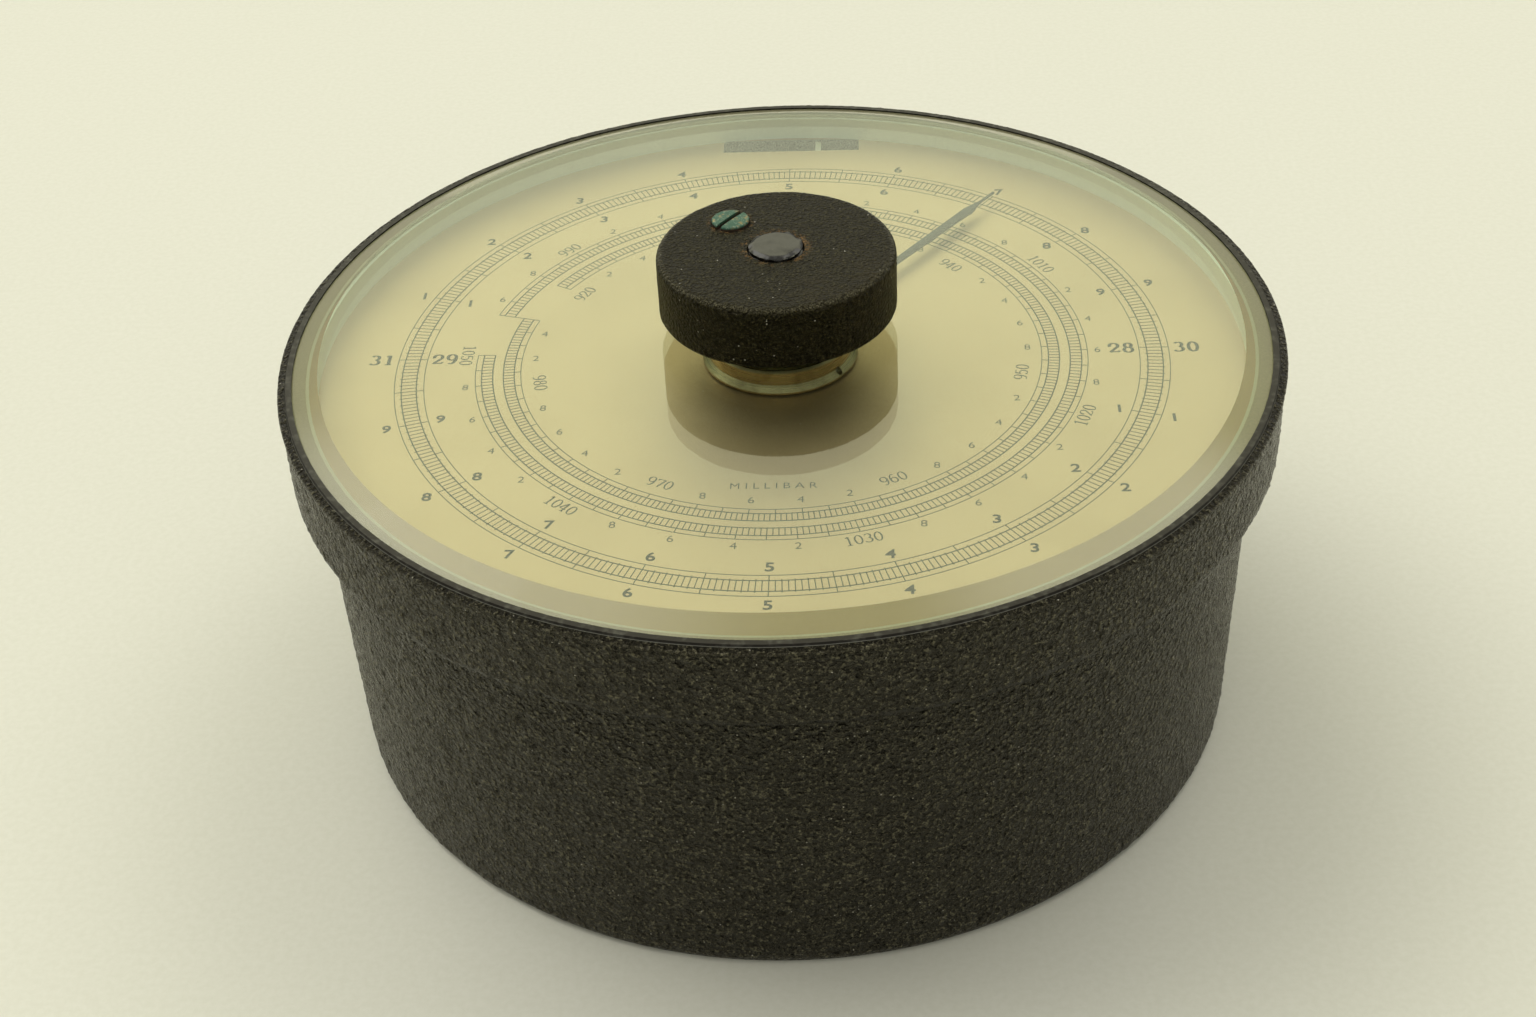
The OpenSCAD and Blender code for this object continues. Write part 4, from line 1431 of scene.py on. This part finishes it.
    def print_millibars(self) -> None:
        """Even millibars upright and small, tens along the ring, each on its own band's free side."""
        small = {d: self.figure(str(d), Lettering.LIGHT, 1.5) for d in (2, 4, 6, 8)}
        drawn: List[Piece] = []
        for pressure in range(self.low_mb, self.high_mb + 1, 2):
            inside = pressure < self.change_mb
            angle = self.mb_angle(pressure)
            if pressure % 10:
                drawn.append(self.placed(small[pressure % 10], 39.7 if inside else 50.8, angle))
                continue
            bottom = self.face - 0.25 * self.ink_depth
            made = RomanFigures(0.12, 0.06, 0.7).draw(str(pressure), 2.1, bottom, self.ink_depth)
            lower = math.sin(math.radians(angle)) < 0.1
            drawn.append(self.placed(made, 38.9 if inside else 51.0, angle, angle + 90 if lower else angle - 90))
            bpy.data.objects.remove(made)
        for made in small.values():
            bpy.data.objects.remove(made)
        word = self.figure("M I L L I B A R", Lettering.LIGHT, 1.4)
        drawn.append(self.placed(word, 36.0, -90))
        bpy.data.objects.remove(word)
        fit_out(joined(drawn, "millibar_figures"), self.ink, Body.CASE)


@dataclass
class Knob:
    """The knob with its screw and the wax that seals its middle."""

    grid: float = 0.36
    steps: int = 330
    edge: float = 1.5
    plug_hole: float = 4.52
    stem_hole: float = 3.02
    counterbore: float = 5.4
    screw_out: float = 11.15
    screw_angle: float = 131.9
    screw_slot: float = 53.9
    screw_hole: float = 3.15

    def build(self) -> None:
        """Builds the knob, its screw and its plug."""
        self.knob()
        self.screw()
        self.plug()

    def knob(self) -> None:
        """A flat round knob in finer crackle enamel, worn round on its edges."""
        low, high = node_box("knob")
        out, turn, bottom, top = high.x, self.edge, low.z, high.z
        outline = [
            (self.stem_hole, bottom),
            *straight((self.stem_hole, bottom), (out - 0.4, bottom), 1.5)[1:],
            *straight((out, bottom + 0.4), (out, top - turn), self.grid)[:-1],
            *arc((out - turn, top - turn), turn, 0, 90, 7)[:-1],
            *straight((out - turn, top), (self.plug_hole + 0.25, top), self.grid),
            (self.plug_hole, top - 0.25),
            (self.plug_hole, top - self.counterbore),
            (self.stem_hole, top - self.counterbore),
        ]
        skin = lathe("knob_skin", outline, self.steps)

        def painted(p: Vector) -> float:
            """All that is outside the hole for the wax."""
            return 1.0 if math.hypot(p.x, p.y) > self.plug_hole + 0.1 and p.z > bottom + 0.2 else 0.0

        for basis, size, depth in (("VORONOI_F2_F1", 0.62, 0.10), ("BLENDER_ORIGINAL", 2.0, 0.10)):
            roughen(skin, painted, basis, size, depth)
        head = drill(self.screw_hole, node_box("knob_screw")[1].z - 1.8, top + 1, self.screw_out, self.screw_angle)
        cut(skin, [head])
        smooth(skin, 40)
        turn = math.radians(self.screw_angle)
        screw = (self.screw_out * math.cos(turn), self.screw_out * math.sin(turn))
        paint = KnobPaint(screw_place=screw, top_z=top)
        fit_out(skin, paint, Body.KNOB, ["knob"])

    def screw(self) -> None:
        """A cheese-head screw, rounded by wear, with one broad slot."""
        low, high = node_box("knob_screw")
        radius, top = 3.05, high.z
        outline = [
            (0, low.z),
            (1.5, low.z),
            (1.5, top - 1.8),
            (radius, top - 1.8),
            *arc((radius - 0.35, top - 0.45), 0.35, 0, 80, 5),
            (1.6, top - 0.03),
            (0, top),
        ]
        body = lathe("knob_screw_head", outline, 72)
        deselect()
        bpy.ops.mesh.primitive_cube_add(size=MM, location=(0, 0, (top - 0.3) * MM))
        slot = bpy.context.object
        edit_all()
        bpy.ops.transform.resize(value=(8, 0.85, 1.2))
        leave_edit()
        cut(body, [slot])
        turn = math.radians(self.screw_angle)
        place = Vector((math.cos(turn), math.sin(turn), 0)) * self.screw_out * MM
        body.data.transform(Matrix.Translation(place) @ Matrix.Rotation(math.radians(self.screw_slot), 4, "Z"))
        smooth(body, 35)
        fit_out(body, Verdigris(floor_z=top - 0.35), Body.KNOB, ["knob_screw"])

    def plug(self) -> None:
        """A pat of black sealing wax that stands proud, with an uneven top and a chipped rim."""
        high, top = node_box("knob_plug")[1], node_box("knob_screw")[1].z
        radius, bottom = high.x, node_box("knob_plug")[0].z
        turn = 0.2
        outline = [
            (0, bottom),
            (radius, bottom),
            *straight((radius, bottom), (radius, top - turn), 0.25)[1:-1],
            *arc((radius - turn, top - turn), turn, 0, 90, 3)[:-1],
            *straight((radius - turn, top), (0, top), 0.2),
        ]
        wax = lathe("sealing_plug", outline, 150)

        def waved(p: Vector) -> float:
            """The whole top sinks a little towards the front."""
            return 0.5 - 0.35 * p.y / radius if p.z > top - 0.15 else 0.0

        def chipped(p: Vector) -> float:
            """The rim is chipped, from its top edge down."""
            out = math.hypot(p.x, p.y) / radius
            return max(0.0, min(1.0, (out - 0.78) * 5)) if p.z > top - 1.2 else 0.0

        roughen(wax, waved, "BLENDER_ORIGINAL", 3.2, 0.4)
        roughen(wax, chipped, "BLENDER_ORIGINAL", 1.8, 0.9)
        smooth(wax, 30)
        # Hard black wax: smooth where it was pressed, so it mirrors the sky in patches.
        pitch = Plain("black_sealing_wax", "#13120F", "#24221C", 0.26, 0.9, 0.05, 0.0, 0.5)
        fit_out(wax, pitch, Body.KNOB, ["knob_plug"])


@dataclass
class Dust:
    """Grains of dust and lint that lie on the glass."""

    count: int = 46
    size: float = 0.11
    seed: int = 7

    def build(self) -> None:
        """Models one grain and scatters copies of it over the flat of the glass."""
        top = node_box("glass")[1].z
        clear, reach = node_box("glass_bush")[1].x + 11, node_box("glass")[1].x - 6
        deselect()
        bpy.ops.mesh.primitive_ico_sphere_add(subdivisions=1, radius=self.size * MM)
        grain = named(bpy.context.object, "grain")
        edit_all()
        bpy.ops.transform.resize(value=(1, 0.7, 0.5))
        leave_edit()
        lot = random.Random(self.seed)
        grains: List[Piece] = []
        for _ in range(self.count):
            out, turn, grow = lot.uniform(clear, reach), lot.uniform(0, 2 * math.pi), lot.uniform(0.5, 1.3)
            place = Vector((out * math.cos(turn), out * math.sin(turn), top + 0.02)) * MM
            spin = Matrix.Rotation(lot.uniform(0, math.pi), 4, "Z") @ Matrix.Diagonal((grow, grow * 0.8, 0.6, 1))
            grains.append(copied(grain, Matrix.Translation(place) @ spin))
        bpy.data.objects.remove(grain)
        # Pale dry fibres and grit: dull light specks on the glass.
        lint = Plain("pale_lint", "#D9D3BE", "#B9AF95", 0.9, 0.3, 0.01)
        fit_out(joined(grains, "dust_grains"), lint, Body.CASE)


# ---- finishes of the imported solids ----


def dress(node: str, finish: Finish) -> None:
    """Puts a finish on a CAD node.

    Args:
        node: Name of the CAD node.
        finish: Its finish.
    """
    obj = FRAME["nodes"][node]
    if not obj.material_slots:
        obj.data.materials.append(finish.material())
    for place in obj.material_slots:
        place.material = finish.material()
    LOG.info("%s: %s", node, finish.name)


# Turned bright steel: cool grey, with sharp fine rings. Nickel plate is warmer and smoother.
STEEL = TurnedMetal("turned_steel", "#8E9093", "#5E6063", 0.3, 0.2, 0.2, 0.003)
NICKEL = TurnedMetal("nickel_plate", "#B9B4A2", "#8A8470", 0.26, 0.3, 0.3, 0.003)


@dataclass
class Movement:
    """The turned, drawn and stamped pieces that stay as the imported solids."""

    def build(self) -> None:
        """Dresses every node by what it is made of."""
        # Lacquered brass off the lathe: golden, with fine rings that catch the light.
        brass = TurnedMetal()
        # Nickel worn through to its brass: yellow-grey, brown where it has tarnished.
        hub = TurnedMetal("tarnished_hub_nickel", "#BEAE86", "#6E5C3C", 0.3, 0.6, 0.35, 0.004)
        # Steel heated to a blue so dark that it looks black, with a weak sheen.
        blued = Plain("blued_steel", "#15171A", "#1E2023", 0.5, 0.3, 0.004, 0.2, 0.2)
        # Matt black lacquer: the window looks like a dark slot.
        black = Plain("black_paint", "#101010", "#1A1A18", 0.75, 0.3, 0.02)
        # Cream enamel: the index stands out pale against the slot.
        index = Plain("cream_paint", "#DAD7C4", "#CBC7B1", 0.5, 0.3, 0.01)
        # Oiled hide: brown and dull.
        leather = Plain("washer_leather", "#5B4129", "#6E5235", 0.8, 0.4, 0.04)
        by_finish = {
            brass: ["base_plate", "floor_screws", "pillars", "upper_plate", "dial_feet", "plate_bush"]
            + ["spring_seat", "carriage_nut", "lever_bracket", "balance_lever", "null_bracket"]
            + ["null_crank", "null_weight", "thrust_collar", "stop_nut", "knob_nut", "capsule_post", "capsule_stud"],
            STEEL: ["plate_screws", "guide_rods", "lever_bracket_screws", "lever_pin"]
            + ["null_bracket_screws", "null_staff", "arbor", "collar_screw", "hub_screws"],
            NICKEL: ["capsule_lower", "glass_bush", "glass_bush_nut"],
            hub: ["pointer_hub"],
            blued: ["pointer"],
            black: ["window_screen"],
            index: ["null_index"],
            leather: ["glass_bush_washer"],
        }
        for finish, nodes in by_finish.items():
            for node in nodes:
                dress(node, finish)


@dataclass
class Flexing:
    """The spring and the capsule's upper half, which give as the movement works."""

    wire: float = 1.4
    turns: float = 7
    seat_turns: float = 1.5
    ring_steps: int = 20
    sides: int = 8
    sheet: float = 0.5
    fit: float = 0.02
    hub: float = 6
    rim: float = 2
    side: float = 2
    wave_depth: float = 0.9
    wave_count: int = 4
    profile_steps: int = 40

    def build(self) -> None:
        """Builds both."""
        self.spring()
        self.capsule()

    def coil(self, name: str, first: float, last: float) -> Piece:
        """The spring's wire from one turn to another, counted from the spring seat.

        Args:
            name: Name of the piece.
            first: The turn where it begins.
            last: The turn where it ends.

        Returns:
            The piece.
        """
        low, high = node_box("measuring_spring")
        rise = (high.z - low.z - self.wire) / self.turns
        middle = low.z + self.wire / 2 + rise * first
        deselect()
        bpy.ops.mesh.primitive_circle_add(vertices=self.sides, radius=self.wire / 2 * MM, rotation=(math.pi / 2, 0, 0))
        coil = named(bpy.context.object, name)
        bpy.ops.object.transform_apply(location=True, rotation=True, scale=True)
        edit_all()
        bpy.ops.transform.translate(value=((high.x - self.wire / 2) * MM, 0, middle * MM))
        steps = round((last - first) * self.ring_steps)
        turn = 2 * math.pi * (last - first)
        bpy.ops.mesh.spin(steps=steps, angle=-turn, use_auto_merge=False, center=(0, 0, 0), axis=(0, 0, 1))
        leave_edit()
        for index, vertex in enumerate(coil.data.vertices):
            vertex.co.z += rise * (index // self.sides) / self.ring_steps * MM
        coil.data.transform(Matrix.Rotation(2 * math.pi * first, 4, "Z"))
        edit_all()
        bpy.ops.mesh.fill_holes(sides=self.sides)
        leave_edit()
        tidy_mesh(coil)
        smooth(coil, 50)
        return coil

    def spring(self) -> None:
        """Two runs of coils: the lower one over the first turns from the spring seat, the upper one over the rest."""
        upper = self.coil("spring_upper_coils", self.seat_turns, self.turns)
        bend_out(upper, STEEL, ["measuring_spring"])
        lower = self.coil("spring_lower_coils", 0, self.seat_turns)
        bend_out(lower, STEEL)

    def height(self, radius: float, full: float, out: float) -> float:
        """Height of the capsule's outside above its middle plane, at a radius.

        Args:
            radius: The radius in millimetres.
            full: Height of the capsule's flat top in millimetres.
            out: Outer radius in millimetres.

        Returns:
            The height in millimetres.
        """
        shoulder = out - self.rim - self.side
        share = min(1.0, max(0.0, (out - self.rim - radius) / self.side))
        ripple = 0.0
        if self.hub <= radius <= shoulder:
            turn = 2 * math.pi * self.wave_count * (radius - self.hub) / (shoulder - self.hub)
            ripple = self.wave_depth * (1 - math.cos(turn)) / 2
        return max(self.sheet, full * share - ripple)

    def capsule(self) -> None:
        """The thin waved upper half, soldered to the lower one at its rim."""
        low, high = node_box("capsule_upper")
        middle, out = low.z - self.fit, high.x
        full = high.z - middle
        radii = [out * i / self.profile_steps for i in range(self.profile_steps + 1)]
        outside = [(r, middle + self.height(r, full, out)) for r in radii]
        inside = [(r, z - self.sheet + self.fit) for r, z in outside]
        half = lathe("capsule_upper_half", inside + outside[::-1], 96)
        smooth(half, 40)
        bend_out(half, NICKEL, ["capsule_upper"])


# ---- studio ----


@dataclass
class Studio:
    """Pale floor, soft lamps and the camera."""

    floor_size: float = 3.0
    lens: float = 53.02
    stand: Tuple[float, float, float] = (16.12, -307.63, 259.12)
    heading: float = -0.06306
    tilt: float = 0.6382
    roll: float = -0.0515
    even: float = 0.4
    behind: float = 1.35
    windows: Tuple[Tuple[float, ...], ...] = (
        (146, 52, 8, 32, 2.5),
        (42, 54, 6, 22, 2.2),
        (-95, 55, 8, 42, 0.4),
    )

    def build(self) -> None:
        """Sets up the whole studio."""
        self.floor()
        self.lamps()
        self.camera()

    def floor(self) -> None:
        """A sheet of warm white board that turns up gently at its far edge."""
        deselect()
        bpy.ops.mesh.primitive_plane_add(size=self.floor_size)
        board = named(bpy.context.object, "floor_board")
        edit_all()
        bpy.ops.mesh.subdivide(number_cuts=7)
        leave_edit()
        # Uncoated board: a warm white that takes soft shadows.
        paper = Plain("white_board", "#E8E8DA", "#E4E4D5", 0.85, 1.2, 0.02, 0.0, 0.2)
        board.data.materials.append(paper.material())

    def lamp(self, name: str, place: Tuple[float, float, float], size: Point, power: float, colour: str) -> None:
        """A rectangular lamp that faces the object; place and size are in metres.

        Args:
            name: Name of the lamp.
            place: Its place in metres.
            size: Its width and height in metres.
            power: Its power in watts.
            colour: Its hex colour.
        """
        deselect()
        bpy.ops.object.light_add(type="AREA", location=place)
        lamp = named(bpy.context.object, name)
        lamp.data.shape = "RECTANGLE"
        lamp.data.size, lamp.data.size_y = size
        lamp.data.energy = power
        lamp.data.color = linear(colour)[:3]
        lamp.rotation_euler = (Vector((0, 0, 0.05)) - Vector(place)).to_track_quat("-Z", "Y").to_euler()

    def glow(self, sky: Tree, around: float, up: float, inner: float, outer: float) -> Socket:
        """A soft round patch of the sky.

        Args:
            sky: The world's node tree.
            around: Compass direction of its middle, in degrees.
            up: Height of its middle above the horizon, in degrees.
            inner: Angle from the middle within which it is full.
            outer: Angle at which it has faded out.

        Returns:
            1 in the patch and 0 outside.
        """
        turn, rise = math.radians(around), math.radians(up)
        middle = (math.cos(turn) * math.cos(rise), math.sin(turn) * math.cos(rise), math.sin(rise))
        look = add_node(sky, "TexCoord", out="Generated")
        apart = add_node(sky, "VectorMath", {0: look, 1: middle}, out="Value", operation="DOT_PRODUCT")
        ends = {"From Min": math.cos(math.radians(outer)), "From Max": math.cos(math.radians(inner))}
        return add_node(sky, "MapRange", {"Value": apart, **ends}, interpolation_type="SMOOTHSTEP")

    def lamps(self) -> None:
        """A lamp on the left, and an even sky with soft windows high at the sides, in front and behind."""
        self.lamp("left_light", (-1.2, 0.5, 1.5), (0.9, 0.9), 1.6, "#FFFDF4")
        world = bpy.data.worlds.new("even_sky")
        world.use_nodes = True
        sky = world.node_tree
        sky.nodes.clear()
        white = self.even
        for around, up, inner, outer, strength in self.windows:
            inputs = {0: self.glow(sky, around, up, inner, outer), 1: strength, 2: white}
            white = add_node(sky, "Math", inputs, operation="MULTIPLY_ADD")
        halves = {0: self.glow(sky, 80, 33, 9, 20), 1: self.glow(sky, 105, 33, 9, 20)}
        behind = add_node(sky, "Math", halves, operation="MAXIMUM")
        warm = add_node(sky, "Math", {0: behind, 1: self.behind}, operation="MULTIPLY")
        first = add_node(sky, "Background", {"Color": linear("#FFFDF4"), "Strength": white})
        second = add_node(sky, "Background", {"Color": linear("#FFFDD4"), "Strength": warm})
        add_node(sky, "OutputWorld", {"Surface": add_node(sky, "AddShader", {0: first, 1: second})})
        bpy.context.scene.world = world

    def camera(self) -> None:
        """A camera above six o'clock that looks down on the dial."""
        deselect()
        level_share = math.cos(self.tilt)
        sideways, onward = math.sin(self.heading) * level_share, math.cos(self.heading) * level_share
        ahead = Vector((sideways, onward, -math.sin(self.tilt)))
        level = Vector((math.cos(self.heading), -math.sin(self.heading), 0))
        above = level.cross(ahead)
        right = math.cos(self.roll) * level + math.sin(self.roll) * above
        up = math.cos(self.roll) * above - math.sin(self.roll) * level
        bpy.ops.object.camera_add()
        camera = named(bpy.context.object, "camera")
        camera.data.lens = self.lens
        camera.data.sensor_width = 36.0
        camera.data.clip_start = 0.01
        turn = Matrix((right, up, -ahead)).transposed().to_4x4()
        camera.matrix_world = Matrix.Translation(Vector(self.stand) * MM) @ turn
        bpy.context.scene.camera = camera
        bpy.context.scene.view_settings.view_transform = "Standard"


FRAME: Dict[str, Any] = {}


def main() -> None:
    """Builds every sub-assembly in order and reports each piece."""
    logging.basicConfig(level=logging.INFO, format="%(name)s: %(message)s")
    FRAME.update(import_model())
    for assembly in (Case(), Glazing(), Dial(), Knob(), Dust(), Movement(), Flexing(), Studio()):
        assembly.build()
        LOG.info("built %s", type(assembly).__name__)


if __name__ == "__main__":
    main()
